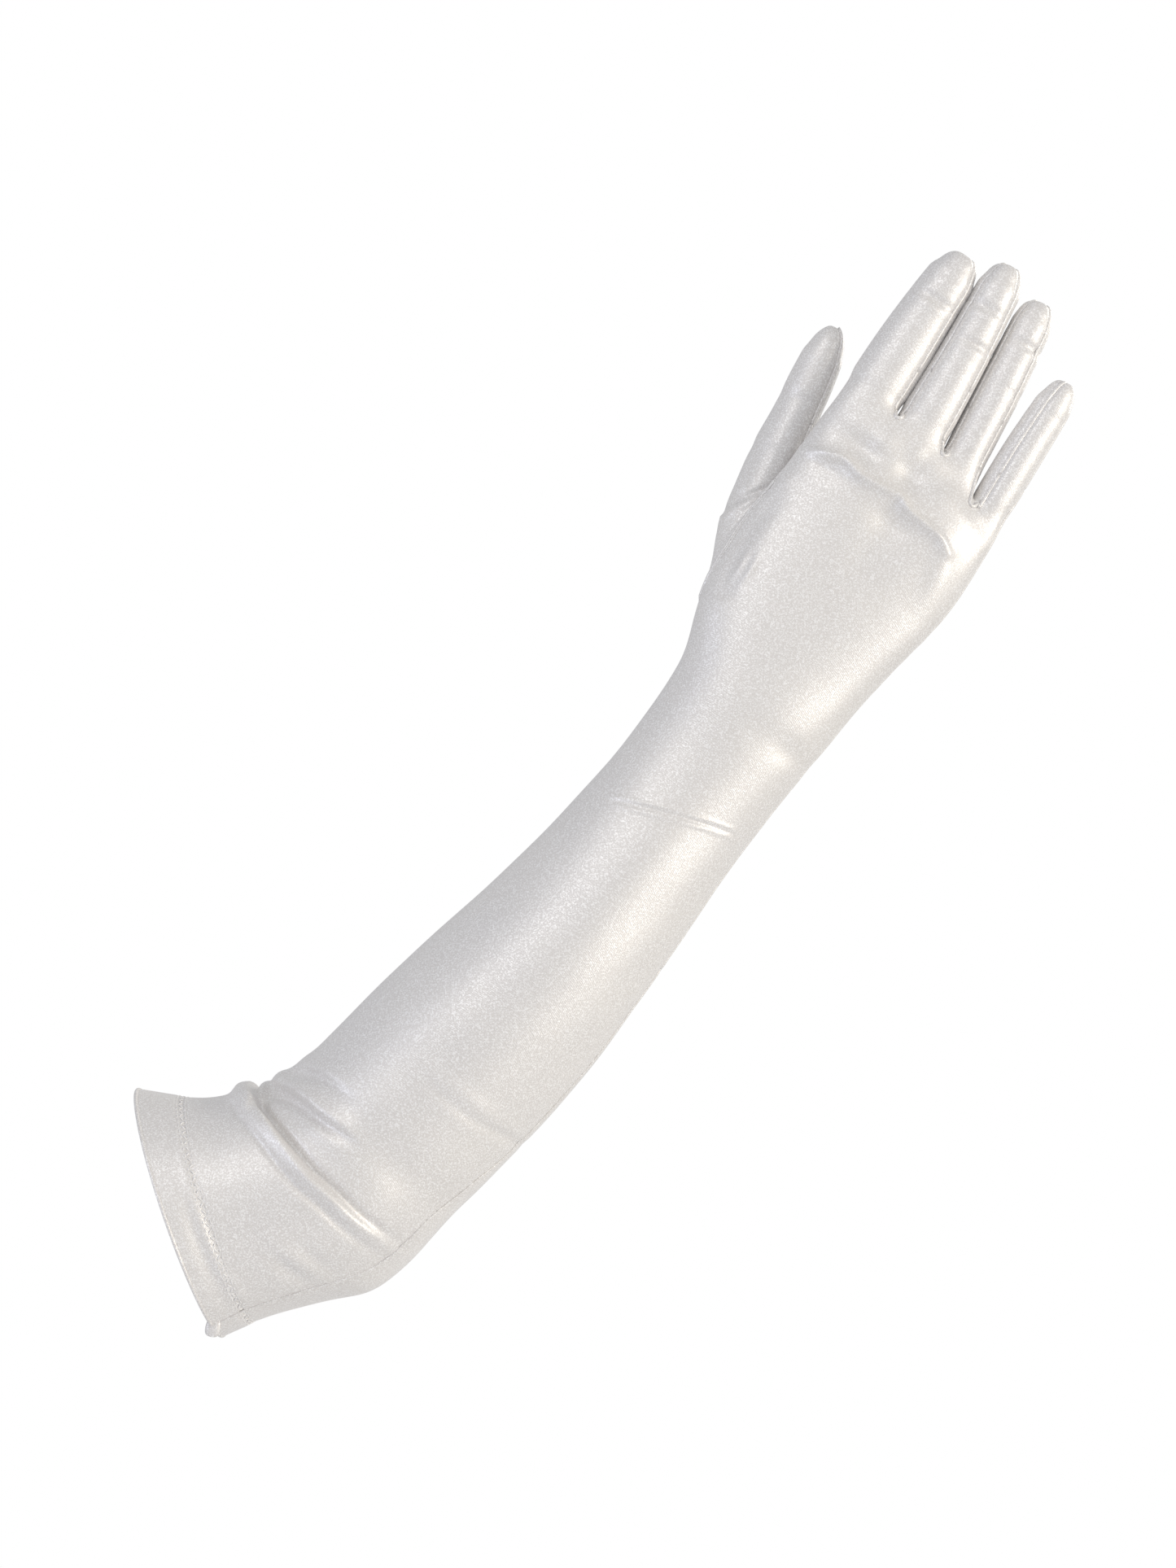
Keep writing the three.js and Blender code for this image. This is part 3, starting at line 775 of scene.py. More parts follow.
crease([(88, 56, 0.1), (100, 47, 0.4), (112, 37, 0.4), (122, 30, 0.1)], 3.0, back_side)
print("elbow folds up to", round(float(height_map.max()), 2), "mm high")

# %% The hem band's hollow, and the forearm's fine creases
crease([(4, 25, -0.1), (9, 2, -0.7), (14, -14, -0.9), (19.5, -31, -0.5)], 3.2, back_side)
crease([(4.5, 35, 0.2), (10, 12, 0.5), (17, -8, 0.7), (25, -24, 0.5)], 2.0, back_side, shift=-2.5)
double = [(152, 149.4, 0), (157.4, 148.7, 0.25), (170, 145.8, 0.4)]
double += [(184, 142, 0.38), (194.7, 138.5, 0.26), (200, 136, 0)]
crease(double, 0.8, back_side)
crease([(x, z, -0.9 * h) for x, z, h in double], 0.8, back_side, shift=-1.6)
crease([(x, z, 0.7 * h) for x, z, h in double], 0.9, back_side, shift=-3.2)
hollow(219, 163, 7, 4.5, -35, 1.0, back_side)
hollow(206, 171, 10, 7, -30, 0.5, back_side)
hollow(120, 108, 26, 12, 45, 0.5, back_side)
hollow(158, 118, 34, 10, 48, -0.4, back_side)
print("forearm creases")

# %% The knuckles' ridge and the hollows round it
back_hand = back_side * not_thumb
ridge = [(224, 273, 0.3), (230.6, 271.1, 1.2), (237.5, 268.8, 1.5), (243.3, 262.9, 1.5), (251, 258.6, 1.5)]
ridge += [
    (256.8, 255.6, 1.6),
    (259.7, 250.7, 1.8),
    (265.6, 245.8, 1.5),
    (270.5, 241.5, 1.2),
    (273.5, 236.1, 0.5),
]
crease([(x, z, 1.5 * h) for x, z, h in ridge], 1.3, back_hand, width_other=2.2)
crease([(x, z, 0.5 * h) for x, z, h in ridge], 4.5, back_hand)
hollow(243, 273, 9, 5, -28, 2.5, back_hand)
hollow(231, 265.5, 6, 3.5, -30, 0.9, back_hand)
hollow(261, 263.5, 7, 7.5, 0, 2.9, back_hand)
hollow(271, 261, 5, 5, 40, 0.8, back_hand)
hollow(251, 275, 5, 3.5, 30, -0.7, back_hand)
hollow(263, 271, 5, 3.5, 60, -0.6, back_hand)
hollow(253, 246, 9, 5, -35, 1.3, back_hand)
crease(
    [(259, 252, -0.3), (252, 243, -0.9), (245, 234, -0.8), (238, 224, -0.2)],
    9.0,
    back_hand,
    width_other=7.0,
)
crease([(270, 245, 0.2), (273, 237, 1.0), (271, 227, 1.0), (266, 215, 0.2)], 4.0, back_hand, width_other=5.0)
crease(
    [(216, 262, 0.3), (209, 252, -0.9), (202.5, 244, -1.5), (197, 233, -1.4), (193.5, 222, -0.6)],
    4.0,
    back_hand,
)
crease([(203, 238, 0.1), (200, 232, 0.6), (196, 226, 0.2)], 1.4, back_hand)
crease([(207, 236, 0.1), (204, 230, 0.5), (200, 224, 0.1)], 1.4, back_hand)
hollow(283, 241, 7, 3.5, 65, 0.7, back_hand)
print("knuckles")

# %% The dents at the finger joints
DENTS = [(270, 326, -32, 1.2), (288.5, 323, -30, 1.1), (284.5, 309.6, -28, 0.8), (303.5, 309.5, -28, 1.0)]
DENTS += [(296, 294, -28, 0.3), (276, 334, -32, 0.4), (311, 285, -30, 0.3)]
for x, z, turn, depth in DENTS:
    hollow(x, z, 5.5, 1.5, turn, depth, back_side)
    hollow(x - 1.3, z - 2.6, 6.5, 1.8, turn, -0.3 * depth, back_side)
only_thumb = smooth(thumb_share, 0.2, 0.7)
thumb_root = np.maximum(only_thumb, 0.3) * back_side
crease([(194, 251, -0.9), (199, 255, -1.1), (204, 257.5, -1.1), (209, 259.5, -0.8)], 1.0, thumb_root)
crease([(194, 248.5, 0.5), (200, 252.5, 0.7), (207, 256, 0.5)], 1.6, thumb_root)
hollow(222, 292, 6, 2.6, -25, 0.6, only_thumb)
hollow(190.5, 246, 13, 5, 62, -1.3, np.ones(len(points)))
print("finger dents")

# %% The cloth sinks along its seams and at the hem's stitch line
def groove(path, width, depth):
    line = through(path, np.linspace(0, len(path) - 1, 160))
    low_corner, high_corner = line.min(0) - 6, line.max(0) + 6
    spots = np.where(((points > low_corner) & (points < high_corner)).all(1))[0]
    square = np.min([((points[spots] - p) ** 2).sum(1) for p in line], axis=0)
    height_map[spots] = height_map[spots] - depth * np.exp(-square / width**2)


for name in FINGERS:
    for angle in BACK_SEAMS[name] + PALM_SEAMS[name]:
        groove(np.array(finger_seam(name, angle, 2, limbs[name].length + 1)), 1.5, 0.7)
groove(np.array([side_seam_point(d) for d in np.linspace(0, 392, 60)]), 1.7, 0.5)
groove(np.array(thumb_seam(322, 40, thumb.length + 2)), 1.5, 0.5)
BAND = 13.2  # how far the turned-in hem reaches, in millimetres
hem_only = 1 - smooth(arm_reach, 20, 24)
hem_step = 0.35 * (1 - smooth(arm_reach, 11.5, 14))
hem_groove = 0.45 * np.exp(-(((arm_reach - BAND) / 1.5) ** 2))
height_map += hem_only * (hem_step - hem_groove)
print("grooves along the seams")

# %% The palm's side, which creases where the hand bends, and a slight unevenness all over
crease([(196, 200, -0.7), (212, 190, -0.9), (228, 181, -0.5)], 1.8, palm_side)
crease([(199, 207, -0.4), (216, 196, -0.7), (231, 188, -0.3)], 1.8, palm_side)
crease([(221, 266, -0.5), (232, 258, -1.0), (248, 243, -0.9), (268, 229, -0.4)], 2.0, palm_side * not_thumb)
crease([(221, 256, -0.2), (224, 244, -0.8), (222, 228, -0.7), (214, 212, -0.3)], 3.2, palm_side * not_thumb)
waves = np.zeros(len(points))
WAYS = [(0.11, 0.05, 0.07), (0.06, 0.13, -0.08), (-0.09, 0.07, 0.12), (0.19, 0.11, -0.16), (0.05, -0.2, 0.21)]
for k, way in enumerate(WAYS):
    waves += np.sin(points @ np.array(way) + 1.7 * k)
height_map += 0.055 * waves * (0.35 + 0.65 * (1 - smooth(arm_reach, 300, 370)))
points += normals * height_map[:, None]
write(skin.data, points * MM)
print("heights from", round(float(height_map.min()), 2), "to", round(float(height_map.max()), 2), "mm")

# %% [markdown]
# ## Satin
# Satin is woven so that long shiny threads lie on its face. What the eye reads is a broad soft highlight, a
# fine sparkle where single threads catch the light, and very fine diagonal lines where the threads pass
# under. The sparkle and the lines are small bumps and small changes of gloss, made by noise, because they
# have no shape of their own. The sparkle is also painted into the colour as white specks, which are painted
# glints. The thread uses the same grain, so it is a group with named inputs.

# %% A group: satin grain
def new_group(name, inputs, outputs):
    group = bpy.data.node_groups.new(name, "ShaderNodeTree")
    for label, kind, value in inputs:
        socket = group.interface.new_socket(name=label, in_out="INPUT", socket_type=kind)
        if value is not None:
            socket.default_value = value
    for label, kind in outputs:
        group.interface.new_socket(name=label, in_out="OUTPUT", socket_type=kind)
    return group, group.nodes.new("NodeGroupInput"), group.nodes.new("NodeGroupOutput")


def math_node(tree, operation, a, b):
    node = tree.nodes.new("ShaderNodeMath")
    node.operation = operation
    for socket, value in zip(node.inputs, (a, b)):
        if isinstance(value, (int, float)):
            socket.default_value = value
        elif value is not None:
            tree.links.new(value, socket)
    return node.outputs[0]


grain, grain_in, grain_out = new_group(
    "satin_grain",
    [
        ("Place", "NodeSocketVector", None),
        ("Lines", "NodeSocketFloat", 0.3),
        ("Sparkle", "NodeSocketFloat", 0.5),
    ],
    [("Height", "NodeSocketFloat"), ("Sparkle", "NodeSocketFloat")],
)
lines = grain.nodes.new("ShaderNodeTexWave")
lines.wave_type = "BANDS"
lines.bands_direction = "DIAGONAL"
lines.inputs["Scale"].default_value = 640.0
lines.inputs["Distortion"].default_value = 3.0
lines.inputs["Detail"].default_value = 1.0
grain.links.new(grain_in.outputs["Place"], lines.inputs["Vector"])
fine = grain.nodes.new("ShaderNodeTexNoise")
fine.inputs["Scale"].default_value = 1700.0
fine.inputs["Detail"].default_value = 2.0
fine.inputs["Roughness"].default_value = 0.7
grain.links.new(grain_in.outputs["Place"], fine.inputs["Vector"])
# the brightest specks of the fine noise: white painted glints in the colour, and glossier spots in the
# roughness
lit = grain.nodes.new("ShaderNodeMapRange")
lit.inputs["From Min"].default_value = 0.47
lit.inputs["From Max"].default_value = 0.64
grain.links.new(fine.outputs["Fac"], lit.inputs["Value"])
sparkle = math_node(grain, "MULTIPLY", lit.outputs["Result"], grain_in.outputs["Sparkle"])
line_height = math_node(grain, "MULTIPLY", lines.outputs["Fac"], grain_in.outputs["Lines"])
height = math_node(grain, "ADD", line_height, math_node(grain, "MULTIPLY", fine.outputs["Fac"], 1.0))
grain.links.new(height, grain_out.inputs["Height"])
grain.links.new(sparkle, grain_out.inputs["Sparkle"])
print("satin grain group")


# %% Satin and thread
def cloth_material(name, base, bright, rough, lines, sparkle, bump):
    material = bpy.data.materials.new(name)
    material.use_nodes = True
    tree = material.node_tree
    shader = tree.nodes["Principled BSDF"]
    place = tree.nodes.new("ShaderNodeTexCoord")
    weave = tree.nodes.new("ShaderNodeGroup")
    weave.node_tree = grain
    weave.inputs["Lines"].default_value = lines
    weave.inputs["Sparkle"].default_value = sparkle
    tree.links.new(place.outputs["Object"], weave.inputs["Place"])
    cloud = tree.nodes.new("ShaderNodeTexNoise")
    cloud.inputs["Scale"].default_value = 22.0
    cloud.inputs["Detail"].default_value = 2.0
    tree.links.new(place.outputs["Object"], cloud.inputs["Vector"])
    tint = tree.nodes.new("ShaderNodeMix")
    tint.data_type = "RGBA"
    tint.inputs["A"].default_value = (*base, 1)
    tint.inputs["B"].default_value = (*bright, 1)
    tree.links.new(cloud.outputs["Fac"], tint.inputs["Factor"])
    # painted glints: the sparkle mixes the colour towards white, where single threads would catch the light
    painted_glints = tree.nodes.new("ShaderNodeMix")
    painted_glints.data_type = "RGBA"
    painted_glints.inputs["B"].default_value = (1, 1, 1, 1)
    tree.links.new(weave.outputs["Sparkle"], painted_glints.inputs["Factor"])
    tree.links.new(tint.outputs["Result"], painted_glints.inputs["A"])
    tree.links.new(painted_glints.outputs["Result"], shader.inputs["Base Color"])
    gloss = math_node(tree, "SUBTRACT", rough, math_node(tree, "MULTIPLY", weave.outputs["Sparkle"], 0.14))
    tree.links.new(gloss, shader.inputs["Roughness"])
    bumps = tree.nodes.new("ShaderNodeBump")
    bumps.inputs["Strength"].default_value = bump
    bumps.inputs["Distance"].default_value = 0.0002
    tree.links.new(weave.outputs["Height"], bumps.inputs["Height"])
    tree.links.new(bumps.outputs["Normal"], shader.inputs["Normal"])
    return material, shader


satin, shader = cloth_material("satin", (0.68, 0.665, 0.665), (0.75, 0.725, 0.695), 0.44, 0.25, 0.75, 0.35)
shader.inputs["Metallic"].default_value = 0.25
shader.inputs["Sheen Weight"].default_value = 0.25
shader.inputs["Sheen Roughness"].default_value = 0.35
thread, shader = cloth_material("thread", (0.82, 0.81, 0.81), (0.88, 0.87, 0.86), 0.5, 0.2, 0.2, 0.4)
shader.inputs["Sheen Weight"].default_value = 0.2
print("materials: satin, thread")

# %% [markdown]
# ## Cloth that bends
# The real glove is one piece of satin. Here it is cut where one joint's stretch ends and the next begins,
# because a piece can bend across one joint only. Each cut piece gets the cloth's thickness inwards. Cutting
# puts a hard edge in the shading, so every point keeps the normal it had on the whole skin, and the cuts
# don't show.

# %% Cut the skin where the joints need it
STORED = "skin_normal"


def store_normals():
    mesh = skin.data
    attribute = mesh.attributes.new(STORED, "FLOAT_VECTOR", "POINT")
    attribute.data.foreach_set("vector", normals_of(mesh).ravel())


store_normals()
arm_reach, finger_reach = read(skin.data, "arm_reach"), read(skin.data, "finger_reach")
thumb_reach = read(skin.data, "thumb_reach")
weights = {name: read(skin.data, f"{name}_share") for name in limbs}
SLEEVE_CUT = 190  # from the hem, between the elbow and the wrist
THUMB_CUT, THUMB_JOINT_CUT = 44, 67  # at the root and before the middle joint, along the thumb
CLOTH = 0.8  # thickness
HAIR = 0.01  # two distances closer than this are the same


def piece_of(name, chosen):
    """A copy of the skin that keeps the chosen faces, with the cloth's thickness inwards."""
    deselect()
    mesh = skin.data.copy()
    piece = bpy.data.objects.new(name, mesh)
    bpy.context.collection.objects.link(piece)
    bpy.context.view_layer.objects.active = piece
    piece.select_set(True)
    bm = bmesh.new()
    bm.from_mesh(mesh)
    bm.verts.ensure_lookup_table()
    doomed = [f for f in bm.faces if not chosen[[v.index for v in f.verts]].all()]
    bmesh.ops.delete(bm, geom=doomed, context="FACES")
    bm.to_mesh(mesh)
    bm.free()
    count = len(mesh.vertices)
    outer = np.empty(count * 3, np.float32)
    mesh.attributes[STORED].data.foreach_get("vector", outer)
    outer = outer.reshape(-1, 3)
    thick = piece.modifiers.new("cloth", "SOLIDIFY")
    thick.thickness = CLOTH * MM
    thick.offset = -1
    thick.use_even_offset = True
    bpy.ops.object.modifier_apply(modifier="cloth")
    bpy.ops.object.shade_smooth()
    both = np.zeros((len(piece.data.vertices), 3), np.float32)
    both[:count] = outer
    both[count : 2 * count] = -outer[: len(both) - count]
    piece.data.normals_split_custom_set_from_vertices(both.tolist())
    for spent in (STORED, "column", "row", "cage_ring", "thumb_step", "thumb_column"):
        piece.data.attributes.remove(piece.data.attributes[spent])
    piece.data.materials.clear()
    piece.data.materials.append(satin)
    print(name, len(piece.data.vertices), "points")
    return piece


in_finger = {name: weights[name] > 0.499 for name in FINGERS}
on_sleeve = (arm_reach < SLEEVE_CUT + HAIR) & (finger_reach < HAIR) & (thumb_reach < HAIR)
sleeve_skin = piece_of("sleeve_skin", on_sleeve)
inner_hand = (arm_reach > SLEEVE_CUT - HAIR) & (thumb_reach < THUMB_CUT + HAIR)
for name in FINGERS:
    inner_hand &= weights[name] < 0.501
hand_skin = piece_of("hand_skin", inner_hand)

# %% Bend each piece across its joint
def at(limb, distance):
    return Vector(limb.section(float(distance))[0] * MM)


SATIN_NODES = {
    "sleeve_skin": ["arm_hem", "upper_sleeve", "elbow_sleeve"],
    "hand_skin": ["forearm_sleeve", "wrist_sleeve", "hand_back", "hand_palm", "thumb_root"],
}
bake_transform(sleeve_skin, "upper_sleeve", "forearm", start=at(arm, 25), end=at(arm, 108))
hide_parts(*SATIN_NODES["sleeve_skin"])
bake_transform(hand_skin, "forearm", "hand", start=at(arm, 260), end=at(arm, 311))
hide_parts(*SATIN_NODES["hand_skin"])

JOINT_REACH = 9  # how far the cloth folds on either side of a finger's middle joint
FINGER_ROOT = 4.5  # where a finger starts to bend, from its own start
FINGER_NODES = {
    "index": (["index_wrap", "index_fourchette"], ["index_tip_wrap", "index_tip_fourchette"]),
    "little": (
        ["little_back", "little_palm", "little_fourchette_thumb_side"],
        ["little_tip_back", "little_tip_palm", "little_tip_fourchette_thumb_side"],
    ),
}
for name in ("middle", "ring"):
    strips = ["back", "palm", "fourchette_thumb_side", "fourchette_far_side"]
    FINGER_NODES[name] = ([f"{name}_{s}" for s in strips], [f"{name}_tip_{s}" for s in strips])

for name in FINGERS:
    limb = limbs[name]
    joint = limb.length * JOINT_SHARE
    cut = joint - JOINT_REACH
    base = piece_of(f"{name}_base_skin", in_finger[name] & (finger_reach < cut + HAIR))
    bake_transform(base, "hand", f"{name}_finger", start=at(limb, FINGER_ROOT), end=at(limb, cut - 0.5))
    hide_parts(f"{name}_fold", *FINGER_NODES[name][0])
    tip = piece_of(f"{name}_tip_skin", in_finger[name] & (finger_reach > cut - HAIR))
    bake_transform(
        tip,
        f"{name}_finger",
        f"{name}_fingertip",
        start=at(limb, cut + 0.5),
        end=at(limb, joint + JOINT_REACH),
    )
    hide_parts(f"{name}_joint_fold", *FINGER_NODES[name][1])

thumb = limbs["thumb"]
on_thumb_base = (thumb_reach > THUMB_CUT - HAIR) & (thumb_reach < THUMB_JOINT_CUT + HAIR)
thumb_base = piece_of("thumb_base_skin", on_thumb_base)
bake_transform(thumb_base, "hand", "thumb", start=at(thumb, 44.5), end=at(thumb, 62))
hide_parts("thumb_fold", "thumb_back", "thumb_palm")
thumb_tip = piece_of("thumb_tip_skin", thumb_reach > THUMB_JOINT_CUT - HAIR)
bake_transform(thumb_tip, "thumb", "thumb_end", start=at(thumb, 67.5), end=at(thumb, 86))
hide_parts("thumb_joint_fold", "thumb_tip_back", "thumb_tip_palm")
print("bending pieces:", 4 + 2 * len(FINGERS))

# %% [markdown]
# ## Seams
# A glove is sewn with a narrow raised seam: two edges of cloth turned in and stitched. On the fingers the
# seams of two neighbours meet in a small U at the crotch. Each seam is a welt, a thin rounded strip that
# starts as an eight sided ring and is extruded point by point along its path on the skin. It bends with the
# same body as the skin under it, so it has the same cuts.

# %% A path on the skin
skin_faces = [tuple(face.vertices) for face in skin.data.polygons]
skin_tree = BVHTree.FromPolygons([v.co for v in skin.data.vertices], skin_faces)


def on_skin(place):
    hit, normal, _, _ = skin_tree.find_nearest(Vector(np.asarray(place) * MM))
    return np.array(hit) / MM, np.array(normal)


def from_front(x, z, side=-1):
    """The skin's point behind a place seen from the front (side -1), or from behind (side 1)."""
    hit = skin_tree.ray_cast(Vector((x * MM, side * 0.1, z * MM)), Vector((0, -side, 0)))[0]
    return np.array(hit) / MM if hit else None


def even_path(path, gap):
    path = np.asarray(path, float)
    dense = through(path, np.linspace(0, len(path) - 1, 40 * len(path)))
    run = np.concatenate([[0], np.cumsum(np.linalg.norm(np.diff(dense, axis=0), axis=1))])
    count = max(3, int(round(run[-1] / gap)) + 1)
    spots = np.linspace(0, run[-1], count)
    return np.stack([np.interp(spots, run, dense[:, k]) for k in range(3)], -1)


def laid_on_skin(path, gap=1.3):
    """Even steps on the skin, with the skin's normal and the direction at each, all evened out."""
    places, normals_there = zip(*(on_skin(p) for p in even_path(path, gap)))
    places, normals_there = np.array(places), np.array(normals_there)
    for _ in range(2):
        places[1:-1] = (places[:-2] + 2 * places[1:-1] + places[2:]) / 4
        normals_there[1:-1] = (normals_there[:-2] + 2 * normals_there[1:-1] + normals_there[2:]) / 4
    normals_there /= np.linalg.norm(normals_there, axis=1)[:, None]
    ahead = np.gradient(places, axis=0)
    ahead /= np.linalg.norm(ahead, axis=1)[:, None] + 1e-9
    return places, normals_there, ahead


print("the side seam halfway along the forearm:", np.round(on_skin(side_seam_point(200))[0], 1), "mm")

# %% A welt along a path
WELT_SIDES = 8


def sew_welt(name, path, width=1.3, height=0.5, gap=1.3, ends=True, sink=0.35):
    places, up, ahead = laid_on_skin(path, gap)
    deselect()
    bpy.ops.mesh.primitive_circle_add(vertices=WELT_SIDES, radius=0.001, fill_type="NGON")
    welt = bpy.context.object
    welt.name = name
    welt.location = (0, 0, 0)
    welt.data.attributes.new("corner", "INT", "POINT").data.foreach_set("value", np.arange(WELT_SIDES))
    bpy.ops.object.mode_set(mode="EDIT")
    bpy.ops.mesh.select_all(action="SELECT")
    for k, (place, normal, along) in enumerate(zip(places, up, ahead)):
        if k:
            extrude()
        sideways = np.cross(along, normal)
        size = 1.0
        if ends and k in (0, len(places) - 1):
            size = 0.45
        bm = bmesh.from_edit_mesh(welt.data)
        corner = bm.verts.layers.int["corner"]
        for v in bm.verts:
            if v.select:
                a = 2 * math.pi * v[corner] / WELT_SIDES
                lift = math.sin(a) * (height if math.sin(a) > 0 else sink)
                v.co = Vector((place + sideways * math.cos(a) * width / 2 * size + normal * lift * size) * MM)
        bmesh.update_edit_mesh(welt.data)
    bpy.ops.mesh.select_all(action="SELECT")
    bpy.ops.mesh.normals_make_consistent(inside=False)
    bpy.ops.object.mode_set(mode="OBJECT")
    bpy.ops.object.shade_smooth()
    welt.data.attributes.remove(welt.data.attributes["corner"])
    welt.data.materials.append(satin)
    return welt


print("sides of a welt:", WELT_SIDES)

# %% Which bodies a stretch of cloth bends between
BENDS = {
    "sleeve": ("upper_sleeve", "forearm", at(arm, 25), at(arm, 108)),
    "hand": ("forearm", "hand", at(arm, 260), at(arm, 311)),
    "thumb": ("hand", "thumb", at(thumb, 44.5), at(thumb, 62)),
    "thumb_end": ("thumb", "thumb_end", at(thumb, 67.5), at(thumb, 86)),
}
for name in FINGERS:
    limb = limbs[name]
    joint = limb.length * JOINT_SHARE
    cut = joint - JOINT_REACH
    BENDS[name] = ("hand", f"{name}_finger", at(limb, FINGER_ROOT), at(limb, cut - 0.5))
    bodies = (f"{name}_finger", f"{name}_fingertip")
    BENDS[f"{name}_tip"] = (*bodies, at(limb, cut + 0.5), at(limb, joint + JOINT_REACH))


def bend_with(piece, stretch):
    body_a, body_b, start, end = BENDS[stretch]
    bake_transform(piece, body_a, body_b, start=start, end=end)


print("stretches that bend:", len(BENDS))

# %% The long side seam
welt = sew_welt("side_seam_sleeve", [side_seam_point(d) for d in np.linspace(0.8, 190, 40)], 1.4, 0.6)
bend_with(welt, "sleeve")
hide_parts("upper_side_seam", "elbow_side_seam")
welt = sew_welt("side_seam_hand", [side_seam_point(d) for d in np.linspace(190, 392, 36)], 1.4, 0.6)
bend_with(welt, "hand")
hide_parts("forearm_side_seam", "wrist_side_seam", "hand_side_seam")
print("side seam: two welts")

# %% The fingers' seams
FINGER_WELT = (1.45, 0.7)  # width and height
for name in FINGERS:
    limb = limbs[name]
    cut = limb.length * JOINT_SHARE - JOINT_REACH
    for angle in BACK_SEAMS[name] + PALM_SEAMS[name]:
        path = finger_seam(name, angle, 5.5, cut)
        base = sew_welt(f"{name}_seam_{angle}", path, *FINGER_WELT, ends=False)
        bend_with(base, name)
        path = finger_seam(name, angle, cut, limb.length + 1.5)
        tip = sew_welt(f"{name}_tip_seam_{angle}", path, *FINGER_WELT)
        bend_with(tip, f"{name}_tip")
print("finger seams:", sum(2 * len(BACK_SEAMS[n] + PALM_SEAMS[n]) for n in FINGERS), "welts")

# %% The small U at each crotch
# a finger with the angles of its two seams, its neighbour with the same, then where the U's foot lies
CROTCHES = [
    ("index", 328, 30, "middle", 211, 150, 255.9, 283.6),
    ("middle", 328, 30, "ring", 210, 150, 272.4, 270.4),
    ("ring", 326, 30, "little", 240, 146, 282.4, 252.4),
]
for first, back_a, palm_a, second, back_b, palm_b, x, z in CROTCHES:
    for side, angle_a, angle_b in ((-1, back_a, back_b), (1, palm_a, palm_b)):
        left, right = finger_seam(first, angle_a, 5.5, 8)[0], finger_seam(second, angle_b, 5.5, 8)[0]
        across, along = across_of(60.0), along_of(60.0)
        foot = np.array([x, 0, z])
        path = [left]
        for u, v in ((-1.5, 2.6), (-1.3, 0.9), (0, 0), (1.3, 0.9), (1.5, 2.6)):
            spot = foot + across * u + along * v
            hit = from_front(spot[0], spot[2], side)
            if hit is not None:
                path.append(hit)
        path.append(right)
        where = "back" if side < 0 else "palm"
        turn = sew_welt(f"{first}_{second}_crotch_{where}", path, 1.5, 0.85, 1.0, ends=False)
        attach(turn, "hand")
print("six crotch turns")

# %% The thumb's seam: two ridges at its low end, one along the thumb
low_path = []
for x, z in low:
    low_path.append(on_skin(from_front(x, z))[0] if from_front(x, z) is not None else on_skin((x, 0, z))[0])
ridge_a = sew_welt("thumb_seam_ridge", low_path, 1.5, 0.7)
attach(ridge_a, "hand")
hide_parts("thumb_seam")
beside = [p + np.array([1.9, 0, -1.0]) for p in low_path[:-1]]
ridge_b = sew_welt("thumb_seam_second_ridge", beside, 1.0, 0.35)
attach(ridge_b, "hand")


rising = sew_welt("thumb_seam_base", thumb_seam(322, 42, 67), 1.4, 0.85, ends=False)
bend_with(rising, "thumb")
over_tip = sew_welt("thumb_seam_tip", thumb_seam(322, 67, thumb.length + 4), 1.4, 0.85, ends=False)
bend_with(over_tip, "thumb_end")
print("thumb seam: four welts")

# %% [markdown]
# ## The hem
# The sleeve's end is turned in and held with a cover stitch, which shows outside as a fine zigzag, and its
# edge is rolled. Inside the mouth the turned cloth shows as a second layer. The end of the side seam sticks
# out at the bottom corner as a small folded tail.

# %% Rolled edge and turned-in band
ring = [arm.point(np.array(0.0), float(a), -0.35) for a in np.linspace(-16, 344, 97)]
deselect()
rolled = sew_welt("rolled_edge", ring, 1.3, 0.45, gap=2.2, ends=False, sink=0.9)
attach(rolled, "upper_sleeve")
SIDES = 96


def ring_face(obj, distance, out):
    bm = bmesh.from_edit_mesh(obj.data)
    corner = bm.verts.layers.int["corner"]
    for v in bm.verts:
        if v.select:
            v.co = Vector(arm.point(np.array(float(distance)), 360.0 * v[corner] / SIDES, out) * MM)
    bmesh.update_edit_mesh(obj.data)


deselect()
bpy.ops.mesh.primitive_circle_add(vertices=SIDES, radius=0.04, fill_type="NOTHING")
band = bpy.context.object
band.name = "turned_band"
band.location = (0, 0, 0)
band.data.attributes.new("corner", "INT", "POINT").data.foreach_set("value", np.arange(SIDES))
bpy.ops.object.mode_set(mode="EDIT")
bpy.ops.mesh.select_mode(type="EDGE")
bpy.ops.mesh.select_all(action="SELECT")
profile = [(0.3, -1.0), (5, -1.1), (BAND - 0.6, -1.1), (BAND, -1.4)]
profile += [(BAND - 0.6, -1.9), (5, -1.9), (0.5, -1.7), (0.3, -1.35)]
for k, (distance, out) in enumerate(profile):
    if k:
        bpy.ops.mesh.extrude_edges_move(TRANSFORM_OT_translate={"value": (0, 0, 0)})
    ring_face(band, distance, out)
bpy.ops.mesh.select_all(action="DESELECT")
bpy.ops.mesh.select_non_manifold()
bpy.ops.mesh.bridge_edge_loops()
bpy.ops.mesh.select_all(action="SELECT")
bpy.ops.mesh.normals_make_consistent(inside=False)
bpy.ops.object.mode_set(mode="OBJECT")
bpy.ops.object.shade_smooth()
band.data.attributes.remove(band.data.attributes["corner"])
band.data.materials.append(satin)
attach(band, "upper_sleeve")
print("hem: rolled edge and turned band")

# %% The seam's tail at the hem's bottom corner
corner_place = on_skin(side_seam_point(0.6))[0]
deselect()
bpy.ops.mesh.primitive_cube_add(size=0.001, location=(0, 0, 0))
tail = bpy.context.object
tail.name = "seam_tail"
